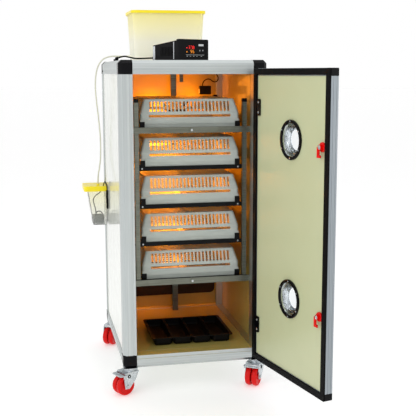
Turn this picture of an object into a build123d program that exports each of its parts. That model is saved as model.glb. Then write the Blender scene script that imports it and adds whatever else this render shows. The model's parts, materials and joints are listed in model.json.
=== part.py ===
from build123d import *
import os
from math import cos, radians, sin, tan

os.makedirs("parts", exist_ok=True)

# Cabinet-type egg incubator on casters. Millimetres, +Z up, the front faces -Y.
# The cabinet is drawn about its own centre line, then everything is moved so that
# the origin lies on the floor under the middle of the whole object's box.

# ---- driving dimensions -------------------------------------------------------
CABINET_W, CABINET_D, CABINET_H = 545.0, 680.0, 1140.0
CASTER_H = 100.0          # floor to the underside of the cabinet
PROFILE = 50.0            # square aluminium extrusion
PROFILE_CHAMFER = 12.0
PROFILE_WALL = 5.0
PANEL_T = 20.0            # sandwich panels
PANEL_SET = 3.0           # panels sit this far inside the profile faces
FLOOR_RISE = 47.0         # cabinet floor above the underside
DOOR_W, DOOR_H, DOOR_T = 500.0, 1080.0, 28.0
DOOR_FRAME_W = 25.0
SEAL_GAP = 7.0            # closed door to cabinet face
DOOR_REST = 103.0         # how far the door stands open at rest
TRAY_PITCH = 143.0
TRAY_COUNT = 5
TRAY_LOW_Z = 414.0        # pivot height of the lowest tray
BASKET_W, BASKET_D, BASKET_H = 374.0, 466.0, 104.0
WHEEL_R, WHEEL_W = 37.5, 22.0
RUNNING = 0.05            # radial clearance of a running fit

# ---- worked out ---------------------------------------------------------------
HALF_W, HALF_D = CABINET_W / 2, CABINET_D / 2
Z_LOW, Z_HIGH = CASTER_H, CASTER_H + CABINET_H
PANEL_IN = PANEL_SET + PANEL_T
FLOOR_Z = Z_LOW + FLOOR_RISE
CEILING_Z = Z_HIGH - PANEL_IN
WALL_X = HALF_W - PANEL_IN
REAR_WALL_Y = HALF_D - PANEL_IN
POST_BACK_Y = -HALF_D + PROFILE
DOOR_IN_Y = -HALF_D - SEAL_GAP
DOOR_OUT_Y = DOOR_IN_Y - DOOR_T
DOOR_LOW_Z = Z_LOW + (CABINET_H - DOOR_H) / 2
DOOR_HIGH_Z = DOOR_LOW_Z + DOOR_H
TRAY_ZS = [TRAY_LOW_Z + i * TRAY_PITCH for i in range(TRAY_COUNT)][::-1]


# ---- helpers ------------------------------------------------------------------
def block(x0, x1, y0, y1, z0, z1):
    centre = Pos((x0 + x1) / 2, (y0 + y1) / 2, (z0 + z1) / 2)
    return centre * Box(abs(x1 - x0), abs(y1 - y0), abs(z1 - z0))


def rod(start, end, radius):
    run = Vector(end) - Vector(start)
    base = Plane(origin=start, z_dir=run)
    return base * Cylinder(radius, run.length, align=(Align.CENTER, Align.CENTER, Align.MIN))


def ring(start, end, outer, inner):
    return rod(start, end, outer) - rod(start, end, inner)


def prism(points, run):
    face = make_face(Polyline(*points, close=True))
    return extrude(face, amount=Vector(run).length, dir=Vector(run).normalized())


def group(shapes):
    return Compound([solid for shape in shapes for solid in shape.solids()])


# ---- frame --------------------------------------------------------------------
GROOVE_IN, GROOVE_OUT, GROOVE_DEEP = 36.0, 42.0, 2.0


def extrusion(corner, across, inward, run):
    """One hollow profile: its chamfered outer corner runs along `run`."""
    across, inward = Vector(across), Vector(inward)
    c, p, g = PROFILE_CHAMFER, PROFILE, GROOVE_DEEP
    half = [(c, 0), (GROOVE_IN, 0), (GROOVE_IN, g), (GROOVE_OUT, g), (GROOVE_OUT, 0), (p, 0)]
    outline = half + [(p, p)] + [(v, u) for u, v in reversed(half)]
    w, far = PROFILE_WALL, PROFILE - 3.0
    hollow = [(c, w), (far, w), (far, far), (w, far), (w, c)]

    def world(pairs):
        return [Vector(corner) + across * u + inward * v for u, v in pairs]

    return prism(world(outline), run) - prism(world(hollow), run)


LATCH_X, LATCH_ZS = -211.0, (962.0, 408.0)
LATCH_R, LATCH_NECK_R, LATCH_TAIL = 16.0, 8.5, 34.0
HOOK_Y = (-336.0, -331.5)


def latch_pocket(z):
    """Slot in the inner side of the left front post that the latch hook turns into."""
    x = -HALF_W + PROFILE
    swing = LATCH_TAIL + 4.5
    return block(LATCH_X - swing, x + 1, HOOK_Y[0] - 1.2, HOOK_Y[1] + 1.2, z - swing, z + swing)


def frame_profiles():
    pieces = []
    for sx in (-1, 1):
        for sy in (-1, 1):
            corner = (sx * HALF_W, sy * HALF_D, Z_LOW + PROFILE)
            post = extrusion(corner, (-sx, 0, 0), (0, -sy, 0), (0, 0, CABINET_H - 2 * PROFILE))
            if (sx, sy) == (-1, -1):
                for z in LATCH_ZS:
                    post -= latch_pocket(z)
            pieces.append(post)
    for side in (-1, 1):
        for z, down in ((Z_LOW, 1), (Z_HIGH, -1)):
            corner = (-HALF_W + PROFILE, side * HALF_D, z)
            run = (CABINET_W - 2 * PROFILE, 0, 0)
            pieces.append(extrusion(corner, (0, -side, 0), (0, 0, down), run))
            corner = (side * HALF_W, -HALF_D + PROFILE, z)
            run = (0, CABINET_D - 2 * PROFILE, 0)
            pieces.append(extrusion(corner, (-side, 0, 0), (0, 0, down), run))
    return group(pieces)


CORNER_PROUD = 1.0


def frame_corners():
    """Eight black corner blocks with the three outer edges broken; flush underneath."""
    pieces = []
    size = PROFILE + CORNER_PROUD
    for sx in (-1, 1):
        for sy in (-1, 1):
            for z, down in ((Z_LOW, 1), (Z_HIGH, -1)):
                x, y = sx * (HALF_W + CORNER_PROUD), sy * (HALF_D + CORNER_PROUD)
                zc = z + CORNER_PROUD if down < 0 else z
                cube = block(x, x - sx * size, y, y - sy * size, zc, z + down * PROFILE)
                tip = Vector(x, y, zc)
                outer = [e for e in cube.edges()
                         if min((Vector(v) - tip).length for v in e.vertices()) < 0.01]
                pieces.append(chamfer(outer, PROFILE_CHAMFER))
    return group(pieces)


def cabinet_panels():
    """Left, right, top and bottom sandwich panels, each let in between the profiles."""
    inner_y = HALF_D - PROFILE
    inner_x = HALF_W - PROFILE
    out_x = HALF_W - PANEL_SET
    sides = [
        block(s * WALL_X, s * out_x, -inner_y, inner_y, Z_LOW + PROFILE, Z_HIGH - PROFILE)
        for s in (-1, 1)
    ]
    top = block(-inner_x, inner_x, -inner_y, inner_y, CEILING_Z, Z_HIGH - PANEL_SET)
    bottom = block(-inner_x, inner_x, -inner_y, inner_y, FLOOR_Z - PANEL_T, FLOOR_Z)
    return group(sides + [top, bottom])


def rear_panel():
    inner_x = HALF_W - PROFILE
    return block(-inner_x, inner_x, REAR_WALL_Y, HALF_D - PANEL_SET, Z_LOW + PROFILE, Z_HIGH - PROFILE)


# ---- egg turner ---------------------------------------------------------------
RAIL_Y = (POST_BACK_Y, POST_BACK_Y + 8)          # front rails, on the back of the posts
REAR_RAIL_Y = (241.0, 249.0)
RAIL_HALF = 11.0
STAND_ZS = (TRAY_ZS[0], TRAY_ZS[-1])
POST_X = (14.0, 38.0)
BOLT_R = 5.0


def turner_stand():
    """Two rails in front and two behind, wall to wall, and the post that braces the rear ones."""
    pieces = []
    for z in STAND_ZS:
        for y0, y1 in (RAIL_Y, REAR_RAIL_Y):
            rail = block(-WALL_X, WALL_X, y0, y1, z - RAIL_HALF, z + RAIL_HALF)
            hollow = block(-WALL_X + 6, WALL_X - 6, y0 + 1.5, y1 - 1.5, z - RAIL_HALF + 2, z + RAIL_HALF - 2)
            plug = block(-16, 16, y0 + 1.5, y1 - 1.5, z - RAIL_HALF + 2, z + RAIL_HALF - 2)
            rail = rail - (hollow - plug)
            pieces.append(rail - rod((0, y0 - 1, z), (0, y1 + 1, z), BOLT_R))
    y0 = REAR_RAIL_Y[1]
    post = block(*POST_X, y0, y0 + 12, FLOOR_Z, CEILING_Z)
    post -= block(POST_X[0] + 2, POST_X[1] - 2, y0 + 2, y0 + 10, FLOOR_Z + 3, CEILING_Z - 3)
    stub = block(54, 68, y0, y0 + 12, CEILING_Z - 62, CEILING_Z)
    return group(pieces + [post, stub])


def turner_pivots():
    """Centre bolts that the top and bottom tray carriers turn on, front and rear."""
    pieces = []
    for z in STAND_ZS:
        front = rod((0, RAIL_Y[0], z), (0, CARRIER_Y[0] + BAR_D + 2, z), BOLT_R)
        head = rod((0, RAIL_Y[0] - 4, z), (0, RAIL_Y[0], z), 7.5)
        collar = rod((0, RAIL_Y[1], z), (0, CARRIER_Y[0] - 0.5, z), 8)
        pieces.append(front + head + collar)
        rear = rod((0, CARRIER_Y[1] - BAR_D - 2, z), (0, REAR_RAIL_Y[1], z), BOLT_R)
        collar = rod((0, CARRIER_Y[1] + 0.5, z), (0, REAR_RAIL_Y[0], z), 8)
        pieces.append(rear + collar)
    return group(pieces)


CARRIER_Y = (-264.5, 222.0)
CARRIER_HALF_W = 190.0
BAR_D, BAR_HALF_H = 12.0, 8.0
LUG_X, LUG_R, LUG_T = 204.0, 9.0, 3.0
PIN_R = 4.0
EAR_W, EAR_TOP = 19.0, 30.0


def carrier(z, pivoted):
    """Black tray frame: two end bars, two side bars, corner ears and the lugs for the uprights."""
    y0, y1 = CARRIER_Y
    w, h = CARRIER_HALF_W, BAR_HALF_H
    body = block(-w, w, y0, y0 + BAR_D, z - h, z + h)
    body += block(-w, w, y1 - BAR_D, y1, z - h, z + h)
    for s in (-1, 1):
        body += block(s * (w - 14), s * w, y0 + BAR_D, y1 - BAR_D, z - h, z + h)
        for face, ear_y in ((y0, y0 + LUG_T), (y1, y1 - LUG_T)):
            body += block(s * (w - EAR_W), s * w, face, ear_y, z - h, z + EAR_TOP)
            lug = block(s * (w - 2), s * LUG_X, face, ear_y, z - LUG_R + 1, z + LUG_R - 1)
            lug += rod((s * LUG_X, face, z), (s * LUG_X, ear_y, z), LUG_R)
            body += lug
            body -= rod((s * LUG_X, face - 5, z), (s * LUG_X, ear_y + 5, z), PIN_R + 0.3)
    if pivoted:
        body -= rod((0, y0 - 5, z), (0, y1 + 5, z), BOLT_R + RUNNING)
    return body


TUBE = 16.0
UPRIGHT_GAP = 0.7
UPRIGHT_LOW, UPRIGHT_HIGH = TRAY_LOW_Z - 14, 1099.0


def upright_pair(side):
    """Front and rear square tubes on one side, with the pins that enter the carrier lugs."""
    pieces = []
    x0, x1 = side * (LUG_X - TUBE / 2), side * (LUG_X + TUBE / 2)
    for face, out in ((CARRIER_Y[0], -1), (CARRIER_Y[1], 1)):
        near, far = face + out * UPRIGHT_GAP, face + out * (UPRIGHT_GAP + TUBE)
        tube = block(x0, x1, near, far, UPRIGHT_LOW, UPRIGHT_HIGH)
        hollow_x = side * (LUG_X - TUBE / 2 + 2), side * (LUG_X + TUBE / 2 - 2)
        tube -= block(*hollow_x, near + out * 2, far - out * 2, UPRIGHT_LOW + 4, UPRIGHT_HIGH - 4)
        for z in TRAY_ZS:
            x = side * LUG_X
            tube += rod((x, face + out * (UPRIGHT_GAP + 1), z), (x, face - out * (LUG_T + 2), z), PIN_R)
        pieces.append(tube)
    return group(pieces)


# ---- egg baskets --------------------------------------------------------------
TRAY_WALL_H = 30.0        # lower tray
HOOD_STRAIGHT = 22.0      # upright part of the hood above the tray
HOOD_IN = 16.0            # how far the hood leans in at its top
BASKET_T = 2.2
SLOT_COUNT, SLOT_PITCH, SLOT_W = 22, 14.0, 8.0
SIDE_SLOTS = 26


def ring_walls(w, d, z0, z1, t):
    return block(-w / 2, w / 2, -d / 2, d / 2, z0, z1) - block(
        -w / 2 + t, w / 2 - t, -d / 2 + t, d / 2 - t, z0 - 1, z1 + 1)


def frustum(w, d, inset, z0, z1):
    low = Pos(0, 0, z0) * RectangleRounded(w, d, 10)
    high = Pos(0, 0, z1) * RectangleRounded(w - 2 * inset, d - 2 * inset, 10)
    return loft([low, high])


def basket_hood():
    """Slotted lid: short upright skirt, then four leaning sides up to a flat top."""
    t = BASKET_T
    z0, z1, z2 = TRAY_WALL_H, TRAY_WALL_H + HOOD_STRAIGHT, BASKET_H
    outer = Pos(0, 0, z0) * extrude(RectangleRounded(BASKET_W, BASKET_D, 10), z1 - z0)
    outer += frustum(BASKET_W, BASKET_D, HOOD_IN, z1, z2)
    inner = Pos(0, 0, z0) * extrude(RectangleRounded(BASKET_W - 2 * t, BASKET_D - 2 * t, 8), z1 - z0)
    inner += frustum(BASKET_W - 2 * t, BASKET_D - 2 * t, HOOD_IN, z1, z2 - t)
    shell = outer - inner
    slots = []
    low, high = z1 + 7, z2 - 9
    for i in range(SLOT_COUNT):
        x = (i - (SLOT_COUNT - 1) / 2) * SLOT_PITCH
        slots.append(block(x - SLOT_W / 2, x + SLOT_W / 2, -BASKET_D, BASKET_D, low, high))
    for i in range(SIDE_SLOTS):
        y = (i - (SIDE_SLOTS - 1) / 2) * SLOT_PITCH
        slots.append(block(-BASKET_W, BASKET_W, y - SLOT_W / 2, y + SLOT_W / 2, low, high))
    long_half = SLOT_COUNT * SLOT_PITCH / 2
    slots.append(block(-long_half, long_half, -BASKET_D, BASKET_D, z0 + 8, z0 + 17))
    return shell - slots


def basket_tray():
    """Lower tray with a stepped band round it and ventilation slots in its floor."""
    t = BASKET_T
    tray = ring_walls(BASKET_W - 6, BASKET_D - 6, 0, TRAY_WALL_H - 0.2, t)
    tray += ring_walls(BASKET_W, BASKET_D, TRAY_WALL_H - 16, TRAY_WALL_H - 0.2, t + 3)
    tray += block(-BASKET_W / 2 + 3, BASKET_W / 2 - 3, -BASKET_D / 2 + 3, BASKET_D / 2 - 3, 0, t)
    holes = []
    for i in range(11):
        y = (i - 5) * 40.0
        for s in (-1, 1):
            holes.append(block(s * 12, s * (BASKET_W / 2 - 20), y - 9, y + 9, -1, t + 1))
    return tray - holes


BASKET_Y = -261.0 + BASKET_D / 2 + 0.5


def egg_basket(z):
    place = Pos(0, BASKET_Y, z + BAR_HALF_H)
    return group([place * BASKET_TRAY, place * BASKET_HOOD])


BASKET_TRAY, BASKET_HOOD = basket_tray(), basket_hood()


# ---- air, heat and humidity ---------------------------------------------------
FAN_X, FAN_Z = 60.0, 1005.0
MOTOR_X, MOTOR_Z = -12.0, TRAY_LOW_Z
BAFFLE_X, BAFFLE_Y, BAFFLE_Z = (-215.0, 208.0), (268.0, 270.0), (216.0, 372.0)
LAMP = (-130.0, 268.0, 800.0)


def air_baffle():
    x0, x1 = BAFFLE_X
    plate = block(x0, x1, *BAFFLE_Y, *BAFFLE_Z)
    low = [e for e in plate.edges().filter_by(Axis.Y) if e.center().Z < BAFFLE_Z[0] + 1]
    plate = fillet(low, 22)
    for x in (x0 + 25, x1 - 25):
        for z in (BAFFLE_Z[0] + 30, BAFFLE_Z[1] - 20):
            plate += rod((x, BAFFLE_Y[0], z), (x, REAR_WALL_Y, z), 5)
    return plate


def fan_motor():
    can = rod((FAN_X, 289, FAN_Z), (FAN_X, REAR_WALL_Y, FAN_Z), 34)
    shaft = rod((FAN_X, 268, FAN_Z), (FAN_X, 289, FAN_Z), 4)
    foot = block(FAN_X - 48, FAN_X + 48, REAR_WALL_Y - 4, REAR_WALL_Y, FAN_Z - 20, FAN_Z + 20)
    return can + shaft + foot


def fan_impeller():
    hub = rod((FAN_X, 270, FAN_Z), (FAN_X, 286, FAN_Z), 20)
    wheel = hub
    for i in range(5):
        blade = Pos(52, 0, 0) * Rot(32, 0, 0) * Box(70, 3, 30)
        wheel += Pos(FAN_X, 278, FAN_Z) * Rot(0, 72 * i, 0) * blade
    return wheel - rod((FAN_X, 260, FAN_Z), (FAN_X, 290, FAN_Z), 4 + RUNNING)


def heater_lamp():
    x, y, z = LAMP
    bulb = Pos(x, y, z) * Sphere(25)
    neck = rod((x, y + 15, z), (x, REAR_WALL_Y - 12, z), 13)
    base = rod((x, REAR_WALL_Y - 12, z), (x, REAR_WALL_Y, z), 22)
    return bulb + neck + base


def turner_motor():
    y0 = REAR_RAIL_Y[1] + 0.3
    gearbox = block(MOTOR_X - 25, MOTOR_X + 25, y0, y0 + 26, MOTOR_Z - 28, MOTOR_Z + 28)
    return gearbox + rod((MOTOR_X, y0 + 26, MOTOR_Z), (MOTOR_X, y0 + 62, MOTOR_Z), 22)


SENSOR_X, SENSOR_Y, SENSOR_Z = (143.0, 193.0), (262.0, 288.0), (1101.0, 1138.0)


def sensor_box():
    box = block(*SENSOR_X, *SENSOR_Y, *SENSOR_Z)
    return fillet(box.edges().filter_by(Axis.Y), 4)


PAN_X, PAN_Y, PAN_H = (-150.0, 170.0), (-245.0, 25.0), 33.0
PAN_CELLS, PAN_T = 4, 2.0


def pan_cell(x0, x1, y0, y1, z0, z1, soft):
    cell = block(x0, x1, y0, y1, z0, z1)
    cell = fillet(cell.edges().filter_by(Axis.Z), soft)
    return fillet([e for e in cell.edges() if e.center().Z < z0 + 0.1], soft * 0.8)


def humidity_pan():
    """Black water pan of four long cells joined by a flat rim."""
    z0, z1 = FLOOR_Z, FLOOR_Z + PAN_H
    pan = block(*PAN_X, *PAN_Y, z1 - 3, z1)
    pan = fillet(pan.edges().filter_by(Axis.Z), 10)
    pitch = (PAN_X[1] - PAN_X[0] - 12) / PAN_CELLS
    inner = []
    for i in range(PAN_CELLS):
        x0 = PAN_X[0] + 6 + i * pitch + 3
        x1 = x0 + pitch - 6
        y0, y1 = PAN_Y[0] + 9, PAN_Y[1] - 9
        pan += pan_cell(x0, x1, y0, y1, z0, z1 - 1, 14)
        inner.append(pan_cell(x0 + PAN_T, x1 - PAN_T, y0 + PAN_T, y1 - PAN_T, z0 + PAN_T, z1 + 6, 12))
    return pan - inner


# ---- door ---------------------------------------------------------------------
PIN_X, PIN_Y = 248.0, DOOR_OUT_Y - 7.0
HINGE_ZS = (1072.0, 268.0)
HINGE_HALF = 30.0
GASKET_W = 21.0
WINDOW_X, WINDOW_ZS = -12.0, (971.0, 420.0)
WINDOW_BORE, WINDOW_R = 57.5, 68.0
DOOR_X = (-DOOR_W / 2, DOOR_W / 2)


def opened(shape):
    """Turn a piece drawn on the closed door to the rest position."""
    return Pos(PIN_X, PIN_Y, 0) * Rot(0, 0, DOOR_REST) * Pos(-PIN_X, -PIN_Y, 0) * shape


def door_bar(x0, x1, z0, z1, edge):
    """Door profile with two shallow grooves along its outer edge face."""
    bar = block(x0, x1, DOOR_OUT_Y, DOOR_IN_Y, z0, z1)
    for y in (DOOR_OUT_Y + 8, DOOR_IN_Y - 8):
        if edge in ("left", "right"):
            x = x0 if edge == "left" else x1
            bar -= block(x - 1.2, x + 1.2, y - 1.5, y + 1.5, z0 - 1, z1 + 1)
        else:
            z = z0 if edge == "low" else z1
            bar -= block(x0 - 1, x1 + 1, y - 1.5, y + 1.5, z - 1.2, z + 1.2)
    return bar


def door_frame():
    x0, x1, z0, z1, f = *DOOR_X, DOOR_LOW_Z, DOOR_HIGH_Z, DOOR_FRAME_W
    bars = [
        door_bar(x0, x0 + f, z0 + f, z1 - f, "left"),
        door_bar(x1 - f, x1, z0 + f, z1 - f, "right"),
        door_bar(x0 + f, x1 - f, z0, z0 + f, "low"),
        door_bar(x0 + f, x1 - f, z1 - f, z1, "high"),
    ]
    return group([opened(bar) for bar in bars])


def door_corners():
    pieces = []
    f = DOOR_FRAME_W
    for x, sx in zip(DOOR_X, (1, -1)):
        for z, sz in ((DOOR_LOW_Z, 1), (DOOR_HIGH_Z, -1)):
            piece = block(x, x + sx * f, DOOR_OUT_Y, DOOR_IN_Y, z, z + sz * f)
            tip = [e for e in piece.edges().filter_by(Axis.Y)
                   if abs(e.center().X - x) < 0.1 and abs(e.center().Z - z) < 0.1]
            pieces.append(opened(fillet(tip, 4)))
    return group(pieces)


def door_panel():
    f = DOOR_FRAME_W
    panel = block(DOOR_X[0] + f, DOOR_X[1] - f, DOOR_OUT_Y + 2, DOOR_IN_Y - 1, DOOR_LOW_Z + f, DOOR_HIGH_Z - f)
    for z in WINDOW_ZS:
        panel -= rod((WINDOW_X, DOOR_OUT_Y - 5, z), (WINDOW_X, DOOR_IN_Y + 5, z), WINDOW_BORE)
    for z in LATCH_ZS:
        panel -= rod((LATCH_X, DOOR_OUT_Y - 5, z), (LATCH_X, DOOR_IN_Y + 5, z), SPINDLE_R + RUNNING)
    return opened(panel)


def door_gasket():
    """Rubber seal round the inner face, a hair thinner than the closed gap."""
    y0, y1 = DOOR_IN_Y, DOOR_IN_Y + SEAL_GAP - CORNER_PROUD - 0.3
    x0, x1, z0, z1 = DOOR_X[0] + 1, DOOR_X[1] - 1, DOOR_LOW_Z + 1, DOOR_HIGH_Z - 1
    w = GASKET_W
    seal = block(x0, x1, y0, y1, z0, z1) - block(x0 + w, x1 - w, y0 - 1, y1 + 1, z0 + w, z1 - w)
    return opened(seal)


def window_bezels():
    """Black clamping rings on both faces of the door round each window."""
    pieces = []
    for z in WINDOW_ZS:
        for y, out in ((DOOR_IN_Y - 1, 1), (DOOR_OUT_Y + 2, -1)):
            bezel = ring((WINDOW_X, y, z), (WINDOW_X, y + out * 7, z), WINDOW_R, WINDOW_BORE)
            rim = [e for e in bezel.edges() if abs(e.center().Y - (y + out * 7)) < 0.1]
            pieces.append(opened(fillet(rim, 2.5)))
    return group(pieces)


def window_panes():
    """Clear stepped porthole: rim, two cone steps and a flat centre."""
    y = DOOR_IN_Y
    rim, step, centre, t = WINDOW_BORE - 0.3, 47.0, 35.0, 3.0
    front = [(rim, y), (rim - 4, y), (step, y - 9), (step - 4, y - 9), (centre, y - 18), (0, y - 18)]
    back = [(0, y - 18 - t), (centre + 1, y - 18 - t), (step - 2, y - 9 - t), (step + 2, y - 9 - t),
            (rim - 2, y - t - 1), (rim, y - t - 1)]
    pieces = []
    for z in WINDOW_ZS:
        outline = [Vector(r, v, 0) for r, v in front + back]
        pane = revolve(make_face(Polyline(*outline, close=True)), Axis.Y, 360)
        pieces.append(opened(Pos(WINDOW_X, 0, z) * pane))
    return group(pieces)


KNUCKLE_R, KNUCKLE_PIN = 6.0, 3.0
KNUCKLE_HALF = 11.7


def hinge_leaves():
    """Door halves of the hinges: outer leaf with its knuckle, and the clamp plate inside."""
    pieces = []
    for z in HINGE_ZS:
        leaf = block(205, PIN_X - 7.5, DOOR_OUT_Y - 3.2, DOOR_OUT_Y, z - HINGE_HALF, z + HINGE_HALF)
        leaf += block(PIN_X - 8, PIN_X, DOOR_OUT_Y - 4.5, DOOR_OUT_Y - 0.5, z - KNUCKLE_HALF, z + KNUCKLE_HALF)
        leaf += rod((PIN_X, PIN_Y, z - KNUCKLE_HALF), (PIN_X, PIN_Y, z + KNUCKLE_HALF), KNUCKLE_R)
        leaf -= rod((PIN_X, PIN_Y, z - 40), (PIN_X, PIN_Y, z + 40), KNUCKLE_PIN + RUNNING)
        plate = block(203, 227, DOOR_IN_Y, DOOR_IN_Y + 4, z - HINGE_HALF, z + HINGE_HALF)
        plate = fillet(plate.edges().filter_by(Axis.Y), 5)
        pieces += [opened(leaf), opened(plate)]
    return group(pieces)


def hinge_blocks():
    """Cabinet halves of the hinges, screwed to the front of the right post, pins included."""
    pieces = []
    for z in HINGE_ZS:
        body = block(254.5, HALF_W, -HALF_D, PIN_Y - KNUCKLE_R, z - HINGE_HALF, z + HINGE_HALF)
        for z0, z1 in ((z - HINGE_HALF, z - 12), (z + 12, z + HINGE_HALF)):
            body += rod((PIN_X, PIN_Y, z0), (PIN_X, PIN_Y, z1), KNUCKLE_R)
            body += block(PIN_X, 256, PIN_Y - KNUCKLE_R, PIN_Y + 2, z0, z1)
        body += rod((PIN_X, PIN_Y, z - HINGE_HALF), (PIN_X, PIN_Y, z + HINGE_HALF), KNUCKLE_PIN)
        pieces.append(body)
    return group(pieces)


SPINDLE_R = 6.0


def latch(z):
    """Quarter-turn latch: hooked cam inside, spindle through the door, knob outside."""
    disc = rod((LATCH_X, DOOR_IN_Y + 0.3, z), (LATCH_X, DOOR_IN_Y + 6, z), LATCH_R)
    disc = fillet([e for e in disc.edges() if e.center().Y > DOOR_IN_Y + 5], 2)
    disc += rod((LATCH_X, DOOR_IN_Y + 3, z), (LATCH_X, HOOK_Y[1], z), LATCH_NECK_R)
    tip = z - LATCH_TAIL
    tail = block(LATCH_X + 2, LATCH_X + 14, *HOOK_Y, tip, z)
    tail += block(LATCH_X - 6, LATCH_X + 4, *HOOK_Y, tip, tip + 9)
    spindle = rod((LATCH_X, DOOR_OUT_Y - 4, z), (LATCH_X, DOOR_IN_Y + 1, z), SPINDLE_R)
    knob = rod((LATCH_X, DOOR_OUT_Y - 0.3, z), (LATCH_X, DOOR_OUT_Y - 8, z), 16)
    grip = block(LATCH_X - 5, LATCH_X + 5, DOOR_OUT_Y - 22, DOOR_OUT_Y - 7, z - 30, z + 16)
    return opened(disc + tail + spindle + knob + grip)


# ---- casters ------------------------------------------------------------------
CASTER_INSET = 27.0
TRAIL = 32.0
FORK_TOP, FORK_BRIDGE = 94.0, 82.0
LEG_IN, LEG_T = 26.0, 3.0
AXLE_R = 4.0
PEDAL_PIVOT = (26.0, 75.0)
CASTERS = {
    "front_left": (-1, -1, 208.0, True),
    "front_right": (1, -1, 236.0, True),
    "rear_left": (-1, 1, 240.0, False),
    "rear_right": (1, 1, 240.0, False),
}


def caster_place(name):
    sx, sy, turn, _ = CASTERS[name]
    return Pos(sx * (HALF_W - CASTER_INSET), sy * (HALF_D - CASTER_INSET), 0) * Rot(0, 0, turn)


def caster_plates():
    pieces = []
    for name in CASTERS:
        plate = block(-26, 26, -26, 26, CASTER_H - 3, CASTER_H)
        race = rod((0, 0, FORK_TOP + 0.3), (0, 0, CASTER_H - 3), 22)
        sx, sy, _, _ = CASTERS[name]
        spot = Pos(sx * (HALF_W - CASTER_INSET), sy * (HALF_D - CASTER_INSET), 0)
        pieces.append(spot * (plate + race))
    return group(pieces)


def caster_fork(name):
    """Swivel head, two legs and the axle; the braked ones carry the pedal pins."""
    top = rod((0, 0, FORK_TOP - 5), (0, 0, FORK_TOP), 25)
    bridge = block(-20, TRAIL + 8, -LEG_IN - LEG_T, LEG_IN + LEG_T, FORK_BRIDGE, FORK_TOP - 5)
    fork = top + bridge
    outline = [(-20, FORK_TOP - 5), (TRAIL + 8, FORK_TOP - 5), (TRAIL + 15, 60), (TRAIL + 10, 28),
               (TRAIL - 9, 27), (-6, 58)]
    for s in (-1, 1):
        y = s * LEG_IN
        fork += prism([Vector(x, y, z) for x, z in outline], (0, s * LEG_T, 0))
    fork += rod((TRAIL, -LEG_IN - 5, WHEEL_R), (TRAIL, LEG_IN + 5, WHEEL_R), AXLE_R)
    if CASTERS[name][3]:
        x, z = PEDAL_PIVOT
        for s in (-1, 1):
            fork += rod((x, s * (LEG_IN + LEG_T - 1), z), (x, s * (LEG_IN + LEG_T + 3.2), z), 3)
    return caster_place(name) * fork


def caster_wheels(name):
    """Two red wheels side by side on one axle."""
    pieces = []
    for s in (-1, 1):
        wheel = rod((TRAIL, s * 2, WHEEL_R), (TRAIL, s * (2 + WHEEL_W), WHEEL_R), WHEEL_R)
        wheel = fillet(wheel.edges().filter_by(GeomType.CIRCLE), 6)
        wheel -= rod((TRAIL, s * 1, WHEEL_R), (TRAIL, s * (3 + WHEEL_W), WHEEL_R), AXLE_R + RUNNING)
        pieces.append(caster_place(name) * wheel)
    return group(pieces)


def caster_brake(name):
    """Brake pedal: a tread plate carried by two arms outside the fork legs."""
    x, z = PEDAL_PIVOT
    y0 = LEG_IN + LEG_T + 0.4
    pedal = block(45, 65, -y0 - 2, y0 + 2, 79, 82)
    pedal = fillet([e for e in pedal.edges().filter_by(Axis.Z) if e.center().X > 60], 10)
    for s in (-1, 1):
        arm = block(x - 7, 50, s * y0, s * (y0 + 2), z - 6, 82)
        arm -= rod((x, s * (y0 - 1), z), (x, s * (y0 + 3), z), 3 + RUNNING)
        pedal += arm
    return caster_place(name) * pedal


# ---- on top: tank and controller ----------------------------------------------
TANK_X, TANK_Y, TANK_H = -22.0, 168.0, 196.0
TANK_TOP, TANK_BASE, TANK_T = (290.0, 202.0), (272.0, 184.0), 2.5
LID_H = 11.0


def tapered_box(base, top, z0, z1, radius):
    low = Pos(0, 0, z0) * RectangleRounded(*base, radius)
    high = Pos(0, 0, z1) * RectangleRounded(*top, radius)
    return loft([low, high])


def water_tank():
    """Open tapered box with a turned-out rim and a hose barb low on its left side."""
    z0, t = Z_HIGH - PANEL_SET, TANK_T
    z1 = z0 + TANK_H
    body = tapered_box(TANK_BASE, TANK_TOP, z0, z1, 18)
    barb_z = z0 + 25
    body += rod((-TANK_BASE[0] / 2 + 4, 37, barb_z), (TUBE_ROUTE[0][0] - TANK_X, 37, barb_z), 5)
    body += Pos(0, 0, z1 - 6) * extrude(RectangleRounded(TANK_TOP[0] + 8, TANK_TOP[1] + 8, 20), 3)
    base_in = (TANK_BASE[0] - 2 * t, TANK_BASE[1] - 2 * t)
    top_in = (TANK_TOP[0] - 2 * t, TANK_TOP[1] - 2 * t)
    body -= tapered_box(base_in, top_in, z0 + t, z1 + 0.5, 16)
    return Pos(TANK_X, TANK_Y, 0) * body


def tank_lid():
    z1 = Z_HIGH - PANEL_SET + TANK_H
    w, d = TANK_TOP[0] + 14, TANK_TOP[1] + 14
    lid = Pos(0, 0, z1 - 2.5) * extrude(RectangleRounded(w, d, 22), LID_H)
    lid -= Pos(0, 0, z1 - 3) * extrude(RectangleRounded(w - 5, d - 5, 20), 3.2)
    lid -= Pos(0, 0, z1 + 4) * extrude(RectangleRounded(w - 26, d - 26, 14), LID_H)
    return Pos(TANK_X, TANK_Y, 0) * lid


CTRL_X, CTRL_Y, CTRL_TURN = -25.0, -170.0, 30.0
CTRL_W, CTRL_D, CTRL_H = 150.0, 165.0, 84.0
CASE_FALL = 17.0          # the case top slopes down towards the rear
BEZEL_T = 14.0
KEY_XS, KEY_Z = (106.0, 121.0), 42.0
KEY_W, KEY_H, KEY_OUT = 9.0, 9.0, 1.2
CTRL_BASE = Z_HIGH - PANEL_SET
FOOT_H = 3.0


def turned(shape):
    """Controller pieces are drawn square, front face on y = 0, then turned into place."""
    return Pos(CTRL_X, CTRL_Y, CTRL_BASE) * Rot(0, 0, CTRL_TURN) * shape


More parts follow.
